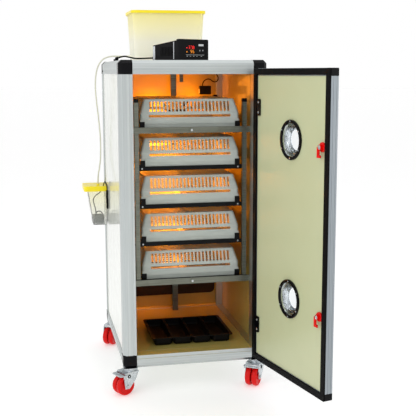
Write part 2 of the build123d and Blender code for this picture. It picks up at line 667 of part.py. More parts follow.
def controller_case():
    top = CTRL_H - 4
    outline = [(BEZEL_T, FOOT_H), (CTRL_D, FOOT_H), (CTRL_D, top - CASE_FALL), (BEZEL_T, top)]
    case = prism([Vector(6, y, z) for y, z in outline], (CTRL_W - 12, 0, 0))
    for x in (20, CTRL_W - 20):
        for y in (30, CTRL_D - 20):
            case += rod((x, y, 0), (x, y, FOOT_H + 1), 8)
    for i in range(9):
        y = 40 + i * 9
        case -= block(5, 8, y, y + 4, 22, 56)
        case -= block(CTRL_W - 8, CTRL_W - 5, y, y + 4, 22, 56)
    case += rod((CABLE_OFFSET, CTRL_D, CABLE_RISE), (CABLE_OFFSET, CTRL_D + 10, CABLE_RISE), 6.5)
    return turned(case)


def controller_front():
    """Front bezel with a recessed display and the two key openings."""
    front = block(0, CTRL_W, 0, BEZEL_T, 0, CTRL_H)
    front = fillet(front.edges().filter_by(Axis.Y), 5)
    front -= block(12, CTRL_W - 12, -1, 1.0, 14, CTRL_H - 12)
    for x in KEY_XS:
        c = KEY_CLEAR
        front -= block(x - KEY_W / 2 - c, x + KEY_W / 2 + c, -1, 9, KEY_Z - KEY_H / 2 - c, KEY_Z + KEY_H / 2 + c)
    return turned(front)


KEY_CLEAR = 0.3
KEY_TRAVEL = 0.8


def controller_key(x):
    y0 = 1.0 - KEY_OUT
    return turned(block(x - KEY_W / 2, x + KEY_W / 2, y0, 8.0, KEY_Z - KEY_H / 2, KEY_Z + KEY_H / 2))


# ---- left side: reservoir and pump --------------------------------------------
RES_Y = (202.0, 318.0)
RES_X_IN, RES_X_TOP, RES_X_LOW = -273.5, -353.0, -332.0
RES_Z = (556.0, 704.0)
RES_T = 2.5
RES_LID_X, RES_LID_Y, RES_LID_Z = (-368.0, -273.5), (194.0, 326.0), (700.0, 722.0)
HOSE_X, HOSE_Y = -306.0, 240.0
CABLE_HOLE = (-286.4, 210.3)
SLEEVE_Y, SLEEVE_LOW_Z = (175.5, 184.5), 628.0


def reservoir_shape(grow, z0, z1):
    """Box whose outer face leans in towards the bottom."""
    x_in, x_low, x_top = RES_X_IN - grow, RES_X_LOW + grow, RES_X_TOP + grow
    y0, y1 = RES_Y[0] + grow, RES_Y[1] - grow
    outline = [Vector(x_in, y0, z0), Vector(x_low, y0, z0), Vector(x_top, y0, z1), Vector(x_in, y0, z1)]
    return prism(outline, (0, y1 - y0, 0))


def reservoir():
    body = reservoir_shape(0, *RES_Z)
    upright = [e for e in body.edges() if abs(e.center().Z - sum(RES_Z) / 2) < 1 and e.center().X < -300]
    body = fillet(upright, 10)
    body -= reservoir_shape(RES_T, RES_Z[0] + RES_T, RES_Z[1] + 0.01)
    hook = block(-HALF_W + PANEL_SET, RES_X_IN, 222, 282, RES_Z[1] - 40, RES_Z[1] - 10)
    return body + hook


def reservoir_lid():
    """Snap-on lid with a tube boss and a hole for the pump cable."""
    x0, x1 = RES_LID_X
    lid = block(x0, x1, *RES_LID_Y, *RES_LID_Z)
    lid = fillet([e for e in lid.edges().filter_by(Axis.Z) if e.center().X < x0 + 1], 12)
    z_top = RES_LID_Z[1] - 3
    lid -= block(RES_X_TOP - 5, x1 + 1, RES_Y[0] - 1.5, RES_Y[1] + 1.5, RES_LID_Z[0] - 1, RES_Z[1] + 0.3)
    lid -= block(RES_X_TOP + 6, RES_X_IN - 4, RES_Y[0] + 5, RES_Y[1] - 5, RES_LID_Z[0] - 1, z_top)
    lid += rod((HOSE_X, HOSE_Y, z_top), (HOSE_X, HOSE_Y, TUBE_ROUTE[-1][2]), 6)
    return lid - rod((*CABLE_HOLE, z_top - 9), (*CABLE_HOLE, z_top + 9), 5)


PUMP_X, PUMP_Y = (-325.0, -283.0), (226.0, 272.0)


def pump():
    z0 = RES_Z[0] + RES_T
    body = block(*PUMP_X, *PUMP_Y, z0, z0 + 34)
    body = fillet(body.edges().filter_by(Axis.Z), 6)
    x, y, z = PUMP_CABLE[0]
    return body + rod((x, y, z0 + 33), (x, y, z), 4)


# ---- cords --------------------------------------------------------------------
CABLE_OFFSET, CABLE_RISE = 16.0, 15.0
CABLE_DIRECTION = radians(CTRL_TURN)


def controller_point(x, y, z):
    c, s = cos(CABLE_DIRECTION), sin(CABLE_DIRECTION)
    return (CTRL_X + c * x - s * y, CTRL_Y + s * x + c * y, CTRL_BASE + z)


CONTROLLER_CABLE_R = 3.0
CONTROLLER_CABLE = [
    controller_point(CABLE_OFFSET, CTRL_D + 10, CABLE_RISE),
    controller_point(CABLE_OFFSET, CTRL_D + 30, CABLE_RISE),
    (-134.0, 26.0, 1251.0),
    (-166.0, 14.0, 1250.0),
    (-193.0, -10.0, 1255.0),
    (-219.0, -33.0, 1260.0),
    (-243.0, -47.0, 1251.0),
]
GLAND_SPOT = (-250.0, -51.5, Z_HIGH)

FEED_TUBE_R = 3.0
TUBE_ROUTE = [
    (-180.0, 205.0, 1262.0),
    (-208.0, 205.0, 1262.0),
    (-247.0, 213.0, 1263.0),
    (-278.0, 226.0, 1251.0),
    (-298.0, 234.0, 1221.0),
    (-307.0, 238.0, 1178.0),
    (-309.0, 240.0, 1126.0),
    (-304.0, 241.0, 1068.0),
    (-298.0, 240.5, 1009.0),
    (-293.0, 240.0, 950.0),
    (-291.0, 240.5, 891.0),
    (-293.0, 240.0, 833.0),
    (-299.0, 240.5, 791.0),
    (-306.0, 240.0, 757.0),
    (-306.0, 240.0, 728.0),
]

PUMP_CABLE_R = 1.9
PUMP_CABLE = [
    (-318.0, 236.0, 597.0),
    (-318.0, 236.0, 616.0),
    (-325.0, 228.0, 640.0),
    (-331.0, 221.0, 661.0),
    (-321.0, 216.0, 680.0),
    (-301.0, 213.0, 692.0),
    (-287.0, 212.0, 713.0),
    (-284.0, 206.0, 738.0),
    (-278.0, 190.0, 742.0),
    (-274.0, 180.0, 726.0),
    (-274.0, 180.0, 706.5),
]

SENSOR_CABLE_R = 2.3
SENSOR_CABLE = [
    (158.0, 275.0, 1138.0),
    (158.0, 275.0, 1157.0),
    (186.0, 273.0, 1171.0),
    (208.0, 271.0, 1152.0),
    (224.0, 270.0, 1158.0),
    (228.0, 270.0, 1173.0),
    (219.0, 271.0, 1187.0),
    (212.0, 272.0, 1202.0),
    (212.0, 272.0, CEILING_Z),
]


def cord(name, points, radius):
    """Straight runs joined by the largest arcs that the runs allow."""
    radii = []
    for a, b, c in zip(points, points[1:], points[2:]):
        before, after = Vector(b) - Vector(a), Vector(c) - Vector(b)
        turn = radians(before.get_angle(after))
        radii.append(0.45 * min(before.length, after.length) / tan(turn / 2))
    path = FilletPolyline(*points, radius=radii)
    start = Plane(origin=points[0], z_dir=Vector(points[1]) - Vector(points[0]))
    tube = sweep(start * Circle(radius), path=path)
    share = tube.volume / (Circle(radius).area * path.length)
    print(name, "length", round(path.length), "volume share", round(share, 4),
          "radii", [round(r) for r in radii])
    return tube


def cable_glands():
    """Elbow gland on the left top rail and the rubber sleeve on the left panel."""
    x, y, z = GLAND_SPOT
    elbow = rod((x, y, z), (x, y, z + 7), 9.5)
    end, before = Vector(CONTROLLER_CABLE[-1]), Vector(CONTROLLER_CABLE[-2])
    elbow += rod(tuple(end), tuple(end + (end - before).normalized() * 9), 5.5)
    skin = -HALF_W + PANEL_SET
    top = PUMP_CABLE[-1]
    sleeve = block(skin, top[0] - 4, *SLEEVE_Y, SLEEVE_LOW_Z, top[2])
    sleeve = fillet([e for e in sleeve.edges().filter_by(Axis.Z) if e.center().X < top[0] - 3], 2.5)
    return group([elbow, sleeve])


# ---- everything ---------------------------------------------------------------
def all_parts():
    parts = {
        "frame_profiles": frame_profiles(),
        "frame_corners": frame_corners(),
        "cabinet_panels": cabinet_panels(),
        "rear_panel": rear_panel(),
        "turner_stand": turner_stand(),
        "turner_pivots": turner_pivots(),
        "turner_motor": turner_motor(),
        "turner_upright_left": upright_pair(-1),
        "turner_upright_right": upright_pair(1),
        "air_baffle": air_baffle(),
        "fan_motor": fan_motor(),
        "fan_impeller": fan_impeller(),
        "heater_lamp": heater_lamp(),
        "sensor_box": sensor_box(),
        "humidity_pan": humidity_pan(),
        "door_frame": door_frame(),
        "door_corners": door_corners(),
        "door_panel": door_panel(),
        "door_gasket": door_gasket(),
        "window_bezels": window_bezels(),
        "window_panes": window_panes(),
        "hinge_leaves": hinge_leaves(),
        "hinge_blocks": hinge_blocks(),
        "caster_plates": caster_plates(),
        "water_tank": water_tank(),
        "tank_lid": tank_lid(),
        "controller_case": controller_case(),
        "controller_front": controller_front(),
        "reservoir": reservoir(),
        "reservoir_lid": reservoir_lid(),
        "pump": pump(),
        "cable_glands": cable_glands(),
        "controller_cable": cord("controller_cable", CONTROLLER_CABLE, CONTROLLER_CABLE_R),
        "feed_tube": cord("feed_tube", TUBE_ROUTE, FEED_TUBE_R),
        "pump_cable": cord("pump_cable", PUMP_CABLE, PUMP_CABLE_R),
        "sensor_cable": cord("sensor_cable", SENSOR_CABLE, SENSOR_CABLE_R),
    }
    for label, z in zip(("upper", "lower"), LATCH_ZS):
        parts[f"{label}_latch"] = latch(z)
    for i, x in enumerate(KEY_XS, start=1):
        parts[f"controller_key_{i}"] = controller_key(x)
    for i, z in enumerate(TRAY_ZS, start=1):
        parts[f"tray_carrier_{i}"] = carrier(z, z in STAND_ZS)
        parts[f"egg_basket_{i}"] = egg_basket(z)
    for name, (_, _, _, braked) in CASTERS.items():
        parts[f"caster_fork_{name}"] = caster_fork(name)
        parts[f"caster_wheels_{name}"] = caster_wheels(name)
        if braked:
            parts[f"caster_brake_{name}"] = caster_brake(name)
    return parts


def main():
    parts = all_parts()
    boxes = [shape.bounding_box() for shape in parts.values()]
    mid_x = (min(b.min.X for b in boxes) + max(b.max.X for b in boxes)) / 2
    mid_y = (min(b.min.Y for b in boxes) + max(b.max.Y for b in boxes)) / 2
    print("cabinet centre from the origin", round(-mid_x, 3), round(-mid_y, 3), "nodes", len(parts))
    for name, shape in parts.items():
        export_step(Pos(-mid_x, -mid_y, 0) * shape, f"parts/{name}.step")


main()
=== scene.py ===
import json
import math

import bmesh
import bpy
from mathutils import Matrix, Vector


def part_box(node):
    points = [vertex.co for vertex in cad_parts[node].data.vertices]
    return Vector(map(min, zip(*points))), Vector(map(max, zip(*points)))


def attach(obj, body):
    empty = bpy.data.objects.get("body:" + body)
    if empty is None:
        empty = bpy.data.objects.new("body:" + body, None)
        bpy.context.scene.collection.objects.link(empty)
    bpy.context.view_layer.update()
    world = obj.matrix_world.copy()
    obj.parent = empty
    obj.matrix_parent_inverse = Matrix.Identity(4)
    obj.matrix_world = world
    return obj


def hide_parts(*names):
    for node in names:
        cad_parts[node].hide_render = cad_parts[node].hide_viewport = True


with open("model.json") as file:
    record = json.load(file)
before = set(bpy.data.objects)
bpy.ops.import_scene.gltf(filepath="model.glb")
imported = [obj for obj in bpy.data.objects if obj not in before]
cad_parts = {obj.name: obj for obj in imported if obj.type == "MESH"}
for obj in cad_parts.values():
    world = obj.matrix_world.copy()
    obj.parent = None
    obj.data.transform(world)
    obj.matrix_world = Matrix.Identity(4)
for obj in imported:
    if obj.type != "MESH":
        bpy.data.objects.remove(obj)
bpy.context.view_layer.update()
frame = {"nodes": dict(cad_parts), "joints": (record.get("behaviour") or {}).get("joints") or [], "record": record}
NODES, RECORD = frame["nodes"], frame["record"]
JOINTS = {joint["name"]: joint for joint in frame["joints"]}
SCENE = bpy.context.scene

# ---- places, worked out from the frame ----------------------------------------------------
low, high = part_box("frame_profiles")
CENTRE = Vector(((low.x + high.x) / 2, (low.y + high.y) / 2, 0))
MM = 0.001
TRAYS = sum(name.startswith("egg_basket_") for name in NODES)
PROFILE = 50 * MM             # the frame bars are this wide
SHARP = math.radians(40)      # edges sharper than this stay crisp or are bevelled


def at(x, y, z):
    """A point given in the cabinet's own millimetres, in the shared frame's metres."""
    return CENTRE + Vector((x, y, z)) * MM


# ---- camera -------------------------------------------------------------------------------
PICTURE_SIDE, SENSOR = 416, 36.0
FOCAL_PIXELS = 856.7
CAMERA_SPOT = (-602.0, -3406.0, 1198.4)
YAW, PITCH, ROLL = 12.01, 9.04, 0.12


def make_camera():
    data = bpy.data.cameras.new("camera")
    data.sensor_width = SENSOR
    data.lens = SENSOR * FOCAL_PIXELS / PICTURE_SIDE
    data.clip_start, data.clip_end = 0.05, 60
    camera = bpy.data.objects.new("camera", data)
    SCENE.collection.objects.link(camera)
    yaw, pitch = math.radians(YAW), math.radians(PITCH)
    ahead = Vector((math.sin(yaw) * math.cos(pitch), math.cos(yaw) * math.cos(pitch), -math.sin(pitch)))
    right = Vector((math.cos(yaw), -math.sin(yaw), 0))
    up = right.cross(ahead)
    turn = Matrix.Rotation(math.radians(ROLL), 3, ahead)
    columns = Matrix((turn @ right, turn @ up, -ahead)).transposed()
    camera.matrix_world = Matrix.Translation(at(*CAMERA_SPOT)) @ columns.to_4x4()
    SCENE.camera = camera


make_camera()


# ---- materials ----------------------------------------------------------------------------
def linear(r, g, b):
    """An sRGB colour in 0 to 255 as linear values."""
    parts = []
    for value in (r, g, b):
        v = value / 255
        parts.append(v / 12.92 if v <= 0.04045 else ((v + 0.055) / 1.055) ** 2.4)
    return (*parts, 1.0)


class Surface:
    """A Principled shader with noise for its colour, roughness and relief."""

    def __init__(self, name, **sockets):
        self.material = bpy.data.materials.new(name)
        self.material.use_nodes = True
        tree = self.material.node_tree
        self.nodes, self.links = tree.nodes, tree.links
        self.shader = self.nodes["Principled BSDF"]
        for key, value in sockets.items():
            self.shader.inputs[key.replace("_", " ")].default_value = value
        self.place = self.nodes.new("ShaderNodeTexCoord").outputs["Object"]
        self.relief = None

    def stretched(self, scale):
        mapping = self.nodes.new("ShaderNodeMapping")
        mapping.inputs["Scale"].default_value = scale
        self.links.new(self.place, mapping.inputs["Vector"])
        return mapping.outputs["Vector"]

    def noise(self, scale, detail=4.0, place=None, rough=0.55):
        node = self.nodes.new("ShaderNodeTexNoise")
        node.inputs["Scale"].default_value = scale
        node.inputs["Detail"].default_value = detail
        node.inputs["Roughness"].default_value = rough
        self.links.new(place or self.place, node.inputs["Vector"])
        return node.outputs["Fac"]

    def cells(self, scale):
        node = self.nodes.new("ShaderNodeTexVoronoi")
        node.inputs["Scale"].default_value = scale
        self.links.new(self.place, node.inputs["Vector"])
        return node.outputs["Color"]

    def ranged(self, value, low, high, start=0.3, end=0.7):
        node = self.nodes.new("ShaderNodeMapRange")
        node.inputs["From Min"].default_value = start
        node.inputs["From Max"].default_value = end
        node.inputs["To Min"].default_value = low
        node.inputs["To Max"].default_value = high
        self.links.new(value, node.inputs["Value"])
        return node.outputs["Result"]

    def mixed(self, factor, a, b):
        node = self.nodes.new("ShaderNodeMix")
        node.data_type = "RGBA"
        self.links.new(factor, node.inputs["Factor"])
        for socket, colour in ((node.inputs[6], a), (node.inputs[7], b)):
            if isinstance(colour, tuple):
                socket.default_value = colour
            else:
                self.links.new(colour, socket)
        return node.outputs[2]

    def colour(self, value):
        self.links.new(value, self.shader.inputs["Base Color"])

    def roughness(self, value):
        self.links.new(value, self.shader.inputs["Roughness"])

    def bump(self, height, strength, depth=0.0005):
        node = self.nodes.new("ShaderNodeBump")
        node.inputs["Strength"].default_value = strength
        node.inputs["Distance"].default_value = depth
        self.links.new(height, node.inputs["Height"])
        if self.relief:
            self.links.new(self.relief, node.inputs["Normal"])
        self.relief = node.outputs["Normal"]
        self.links.new(self.relief, self.shader.inputs["Normal"])

    def height_blend(self, z_low, z_high):
        """0 below z_low, 1 above z_high."""
        split = self.nodes.new("ShaderNodeSeparateXYZ")
        self.links.new(self.place, split.inputs["Vector"])
        return self.ranged(split.outputs["Z"], 0.0, 1.0, z_low, z_high)


def extruded(name, axis, dark=(178, 184, 184), light=(204, 209, 208)):
    """Satin anodised aluminium with fine die lines along one axis."""
    s = Surface(name, Metallic=1.0)
    across = [260.0, 260.0, 260.0]
    across[axis] = 1.2
    lines = s.noise(1.0, 3.0, s.stretched(across), 0.65)
    cloud = s.noise(9.0, 3.0)
    tone = s.mixed(s.ranged(lines, 0, 1), linear(*dark), linear(*light))
    s.colour(s.mixed(s.ranged(cloud, 0.0, 0.25), tone, linear(*dark)))
    s.roughness(s.ranged(lines, 0.34, 0.46))
    s.bump(lines, 0.12, 0.0002)
    return s.material


def glossy_moulding(name, rgb, lighter, rough=(0.16, 0.3), grain=700.0, **sockets):
    """Injection moulded gloss plastic: faint orange peel, cloudy gloss, fine scuffs."""
    s = Surface(name, **sockets)
    cloud = s.noise(14.0, 4.0)
    scuffs = s.noise(1.0, 5.0, s.stretched((40.0, 300.0, 130.0)), 0.7)
    s.colour(s.mixed(s.ranged(scuffs, 0, 0.5, 0.55, 0.75), linear(*rgb), linear(*lighter)))
    s.roughness(s.ranged(cloud, *rough))
    s.bump(s.noise(grain, 2.0), 0.05, 0.0003)
    s.bump(s.noise(30.0, 2.0), 0.04, 0.002)
    return s.material


def laminate(name, rgb, tint, rough=(0.1, 0.2), wave=0.1):
    """Glossy sheet skin of a sandwich panel: slow waves, faint mottling, fine rub marks."""
    s = Surface(name, Coat_Weight=0.25, Coat_Roughness=0.06)
    mottle = s.noise(5.0, 5.0)
    rub = s.noise(18.0, 4.0)
    s.colour(s.mixed(s.ranged(mottle, 0, 1), linear(*rgb), linear(*tint)))
    s.roughness(s.ranged(rub, *rough))
    s.bump(s.noise(3.2, 2.0), wave, 0.012)
    s.bump(s.noise(900.0, 2.0), 0.03, 0.0002)
    return s.material


def brushed(name, dark, light, rough=(0.28, 0.42), axis=0):
    """Drawn or plated steel with brush lines and a few stains."""
    s = Surface(name, Metallic=1.0)
    across = [320.0, 320.0, 320.0]
    across[axis] = 4.0
    lines = s.noise(1.0, 4.0, s.stretched(across), 0.7)
    stain = s.noise(22.0, 5.0)
    tone = s.mixed(s.ranged(lines, 0, 1), linear(*dark), linear(*light))
    s.colour(s.mixed(s.ranged(stain, 0, 0.35, 0.5, 0.7), tone, linear(*dark)))
    s.roughness(s.ranged(stain, *rough))
    s.bump(lines, 0.15, 0.0002)
    return s.material


def plated(name, dark, light):
    """Bright zinc plate: small crystals of slightly different tone, dull patches."""
    s = Surface(name, Metallic=1.0)
    crystal = s.cells(260.0)
    patch = s.noise(35.0, 4.0)
    tone = s.mixed(crystal, linear(*dark), linear(*light))
    s.colour(s.mixed(s.ranged(patch, 0, 0.6, 0.5, 0.68), tone, linear(*dark)))
    s.roughness(s.ranged(patch, 0.2, 0.4))
    s.bump(s.noise(420.0, 3.0), 0.10, 0.0002)
    return s.material


def textured_paint(name, rgb, lighter, rough=(0.35, 0.5), grain=900.0, specular=0.1):
    """Powder coat with a fine leathery grain."""
    s = Surface(name, Specular_IOR_Level=specular)
    grains = s.noise(grain, 3.0)
    cloud = s.noise(18.0, 4.0)
    s.colour(s.mixed(s.ranged(cloud, 0, 1), linear(*rgb), linear(*lighter)))
    s.roughness(s.ranged(grains, *rough))
    s.bump(grains, 0.25, 0.0004)
    return s.material


def rubber(name, rgb=(7, 7, 8)):
    s = Surface(name, Specular_IOR_Level=0.06)
    dust = s.noise(60.0, 5.0)
    s.colour(s.mixed(s.ranged(dust, 0, 0.3, 0.5, 0.75), linear(*rgb), linear(40, 40, 42)))
    s.roughness(s.ranged(dust, 0.42, 0.62))
    s.bump(s.noise(1200.0, 2.0), 0.12, 0.0002)
    return s.material


def basket_plastic(name):
    """Cool grey-white polypropylene, slightly waxy, a little warm light passing through."""
    s = Surface(name, Subsurface_Weight=0.12, Subsurface_Radius=(0.6, 0.5, 0.4), Subsurface_Scale=0.004)
    flow = s.noise(1.0, 4.0, s.stretched((14.0, 14.0, 60.0)))
    s.colour(s.mixed(s.ranged(flow, 0, 1), linear(172, 178, 172), linear(184, 190, 184)))
    s.roughness(s.ranged(s.noise(40.0, 3.0), 0.36, 0.5))
    s.bump(s.noise(650.0, 2.0), 0.1, 0.0003)
    return s.material


def translucent_moulding(name, low_rgb, painted_light_top_rgb, z_low, z_high, transmission, rough=(0.45, 0.6),
                         glow=0.0):
    """Milky container wall whose colour blends with height into painted light: the lid's coloured light on the
    tank and reservoir, a lighter top on the tube.
    """
    # glow is a painted glow: the wall emits low_rgb though it is no lamp
    s = Surface(name, Transmission_Weight=transmission, IOR=1.2, Emission_Strength=glow,
                Emission_Color=linear(*low_rgb))
    # painted light: the colour turns from low_rgb to the painted top colour between z_low and z_high
    up = s.height_blend(z_low, z_high)
    s.colour(s.mixed(up, linear(*low_rgb), linear(*painted_light_top_rgb)))
    s.roughness(s.ranged(s.noise(25.0, 3.0), *rough))
    s.bump(s.noise(500.0, 2.0), 0.06, 0.0003)
    return s.material


def clear_moulding(name):
    s = Surface(name, Transmission_Weight=1.0, IOR=1.2)
    s.colour(s.mixed(s.ranged(s.noise(8.0), 0, 1), linear(244, 248, 250), linear(252, 254, 255)))
    s.roughness(s.ranged(s.noise(60.0, 4.0), 0.03, 0.09))
    return s.material


def chrome(name):
    s = Surface(name, Metallic=1.0)
    tarnish = s.ranged(s.noise(90.0, 5.0), 0, 1)
    s.colour(s.mixed(tarnish, linear(214, 218, 222), linear(236, 238, 240)))
    s.roughness(s.ranged(s.noise(150.0, 5.0, None, 0.7), 0.06, 0.18))
    return s.material


def wheel_tread(name):
    """Red polyurethane, scuffed dull on the tread and dusty in the hollows."""
    s = Surface(name, Specular_IOR_Level=0.2)
    scuffs = s.noise(220.0, 6.0, None, 0.75)
    s.colour(s.mixed(s.ranged(scuffs, 0, 0.4, 0.52, 0.75), linear(216, 14, 10), linear(160, 44, 38)))
    s.roughness(s.ranged(scuffs, 0.22, 0.5))
    s.bump(scuffs, 0.12, 0.0004)
    return s.material


def lit(name, rgb, strength):
    """A lit segment, a little uneven like a real lamp segment."""
    s = Surface(name, Emission_Strength=strength, Roughness=0.4)
    glow = s.mixed(s.ranged(s.noise(600.0), 0, 0.4), linear(*rgb), linear(*[c * 0.7 for c in rgb]))
    s.links.new(glow, s.shader.inputs["Emission Color"])
    s.colour(glow)
    return s.material


def ceramic(name):
    s = Surface(name, Coat_Weight=0.5, Coat_Roughness=0.1)
    speckle = s.ranged(s.noise(300.0, 4.0), 0, 1)
    s.colour(s.mixed(speckle, linear(226, 222, 210), linear(238, 236, 228)))
    s.roughness(s.ranged(s.noise(80.0), 0.25, 0.4))
    return s.material


tank_low, tank_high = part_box("water_tank")
reservoir_low, reservoir_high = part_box("reservoir")

MATERIALS = {
    "anodised_aluminium": extruded("anodised_along_z", 2),
    "corner_black": glossy_moulding(
        "corner_black", (5, 5, 8), (16, 17, 22), Specular_IOR_Level=0.12),
    "panel_white": laminate("panel_white", (222, 225, 217), (216, 219, 210), wave=0.04),
    "rack_steel": brushed("rack_steel", (92, 94, 82), (132, 134, 124)),
    "zinc_steel": plated("zinc_steel", (178, 184, 188), (222, 227, 230)),
    "motor_grey": textured_paint("motor_grey", (58, 60, 63), (70, 72, 75)),
    # dark paint with painted light: the baffle's brown tones paint the amber lamp light onto its dark grey paint
    "baffle_dark": textured_paint("baffle_dark", (46, 34, 24), (62, 44, 30)),
    "fan_black": textured_paint("fan_black", (20, 20, 21), (30, 30, 31), grain=1300.0),
    "lamp_glass": lit("lamp_glass", (255, 168, 70), 30.0),
    "matt_black": textured_paint("matt_black", (18, 18, 20), (30, 30, 32)),
    "pan_black": glossy_moulding(
        "pan_black", (11, 11, 11), (26, 25, 23), rough=(0.3, 0.42), Specular_IOR_Level=0.1),
    "door_cream": laminate(
        "door_cream", (196, 200, 160), (192, 197, 156), rough=(0.3, 0.4), wave=0.01),
    "seal_rubber": rubber("seal_rubber"),
    "clear_plastic": clear_moulding("clear_plastic"),
    # painted light: the tank's faint glow and its yellow top tint stand in for lamp light and the lid's light
    "tank_translucent": translucent_moulding(
        "tank_translucent", (252, 251, 240), (253, 246, 178), tank_low.z + 0.08, tank_high.z, 0.5,
        glow=0.06),
    "reservoir_translucent": translucent_moulding(
        "reservoir_translucent", (247, 248, 246), (251, 249, 228), reservoir_low.z, reservoir_high.z,
        0.95, rough=(0.1, 0.2)),
    "lid_yellow": glossy_moulding("lid_yellow", (248, 226, 8), (252, 236, 60), rough=(0.25, 0.38)),
    "controller_black": textured_paint("controller_black", (8, 8, 10), (15, 15, 17)),
    "controller_front": glossy_moulding(
        "controller_front", (4, 4, 6), (12, 12, 15), rough=(0.16, 0.26), Specular_IOR_Level=0.1),
    "key_grey": textured_paint("key_grey", (44, 45, 48), (54, 55, 58)),
    "pump_grey": textured_paint("pump_grey", (136, 138, 140), (150, 152, 154)),
    "cable_black": rubber("cable_black", (12, 12, 13)),
    "tube_clear": translucent_moulding("tube_clear", (222, 224, 208), (230, 230, 212), 0.6, 1.2, 0.25),
    "latch_red": glossy_moulding(
        "latch_red", (222, 12, 6), (230, 40, 28), rough=(0.2, 0.32), Specular_IOR_Level=0.25),
    "carrier_black": textured_paint("carrier_black", (9, 10, 10), (18, 20, 20), rough=(0.3, 0.45)),
    "basket_plastic": basket_plastic("basket_plastic"),
    "wheel_red": wheel_tread("wheel_red"),
}
INSIDE_CREAM = laminate("inside_cream", (184, 168, 92), (176, 160, 86), rough=(0.3, 0.4), wave=0.02)
ALONG_X, ALONG_Y = extruded("anodised_along_x", 0), extruded("anodised_along_y", 1)
# painted shade: the door frame's aluminium is the cabinet frame's aluminium in darker tones
SHADED_DOOR_EDGE = extruded("anodised_door_shaded", 2, (138, 146, 152), (168, 174, 178))
CHROME, CERAMIC = chrome("chrome"), ceramic("ceramic")
SCREW_STEEL = brushed("screw_steel", (168, 172, 174), (214, 218, 220), (0.2, 0.34))
LIT_RED, LIT_AMBER = lit("lit_red", (255, 20, 8), 1.6), lit("lit_amber", (255, 150, 12), 1.4)
PRINT_WHITE = textured_paint("print_white", (196, 198, 200), (214, 216, 218))
STRIP_SILVER = brushed("strip_silver", (190, 194, 198), (232, 235, 238), (0.2, 0.35), axis=2)


def paint(obj, *materials):
    obj.data.materials.clear()
    for material in materials:
        obj.data.materials.append(material)


# ---- CAD nodes: materials and softened edges ------------------------------------------------
WELD_GAP = 0.02 * MM
CAD_SHARP = math.radians(35)


def soften(obj, width):
    """Small real bevels on a CAD node's sharp edges."""
    weld = obj.modifiers.new("weld", "WELD")
    weld.merge_threshold = WELD_GAP
    bevel = obj.modifiers.new("bevel", "BEVEL")
    bevel.width, bevel.segments = width, 2
    bevel.limit_method, bevel.angle_limit = "ANGLE", CAD_SHARP
    bevel.harden_normals = False
    bevel.use_clamp_overlap = True


for part in RECORD["subparts"]:
    node = NODES[part["node"]]
    paint(node, MATERIALS[part["material_slot"]])


def lines_along_bars():
    """Each frame bar's die lines run along that bar; the front sill's top is cream like the floor."""
    profiles = NODES["frame_profiles"]
    paint(profiles, MATERIALS["anodised_aluminium"], ALONG_X, ALONG_Y, INSIDE_CREAM)
    corners_low, corners_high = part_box("frame_corners")
    proud = (corners_high.z - corners_low.z) - (high.z - low.z)
    bar = proud + PROFILE
    for face in profiles.data.polygons:
        spot = face.center
        upright = low.z + bar < spot.z < high.z - bar
        sideways = low.x + bar < spot.x < high.x - bar
        face.material_index = 0 if upright else 1 if sideways else 2
        if sideways and face.normal.z > 0.9 and spot.z < low.z + bar + 10 * MM:
            face.material_index = 3
    # the door frame takes the darker aluminium, which is painted shade
    paint(NODES["door_frame"], SHADED_DOOR_EDGE)


def cream_inside():
    """The cabinet's panels are cream towards the inside and white outside; so is the door's."""
    middle = (low + high) / 2
    for name in ("cabinet_panels", "rear_panel"):
        paint(NODES[name], MATERIALS["panel_white"], INSIDE_CREAM)
        for face in NODES[name].data.polygons:
            face.material_index = int(face.normal.dot(middle - face.center) > 0)
    paint(NODES["door_panel"], MATERIALS["door_cream"], MATERIALS["panel_white"])
    outward = Vector(JOINTS["upper_latch_turn"]["axis"]) * -1
    for face in NODES["door_panel"].data.polygons:
        face.material_index = int(face.normal.dot(outward) > 0.9)


SOFT_EDGES = {                # bevel widths in millimetres
    "frame_corners": 1.6, "door_corners": 1.2, "controller_front": 0.8, "controller_case": 1.2,
    "hinge_blocks": 0.8, "sensor_box": 0.8, "turner_motor": 1.0, "reservoir_lid": 1.5,
    "door_frame": 0.5, "frame_profiles": 0.5,
}
CARRIER_BEVEL = 0.7 * MM


def soften_edges():
    for name, width in SOFT_EDGES.items():
        soften(NODES[name], width * MM)
    for i in range(1, TRAYS + 1):
        soften(NODES[f"tray_carrier_{i}"], CARRIER_BEVEL)


lines_along_bars()
cream_inside()
paint(NODES["turner_pivots"], MATERIALS["rack_steel"])
soften_edges()


# ---- cords --------------------------------------------------------------------------------
def drawn_length(data):
    """Length of the curve's middle line as it is drawn."""
    bare = data.copy()
    bare.bevel_depth = 0
    probe = bpy.data.objects.new("probe", bare)
    line = bpy.data.meshes.new_from_object(probe)
    spots = [v.co.copy() for v in line.vertices]
    bpy.data.objects.remove(probe)
    return sum((b - a).length for a, b in zip(spots, spots[1:]))


def cord_piece(name, node, points, radius, slot):
    """A smooth cord along its route, in place of the CAD tube."""
    data = bpy.data.curves.new(name, "CURVE")
    data.dimensions = "3D"
    data.bevel_depth, data.bevel_resolution, data.resolution_u = radius * MM, 6, 12
    data.use_fill_caps = True
    spline = data.splines.new("NURBS")
    spline.points.add(len(points) - 1)
    for point, spot in zip(spline.points, points):
        point.co = (*at(*spot), 1.0)
    spline.order_u = 3
    spline.use_endpoint_u = True
    piece = bpy.data.objects.new(name, data)
    SCENE.collection.objects.link(piece)
    paint(piece, MATERIALS[slot])
    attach(piece, "cabinet")
    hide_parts(node)
    length = drawn_length(data)


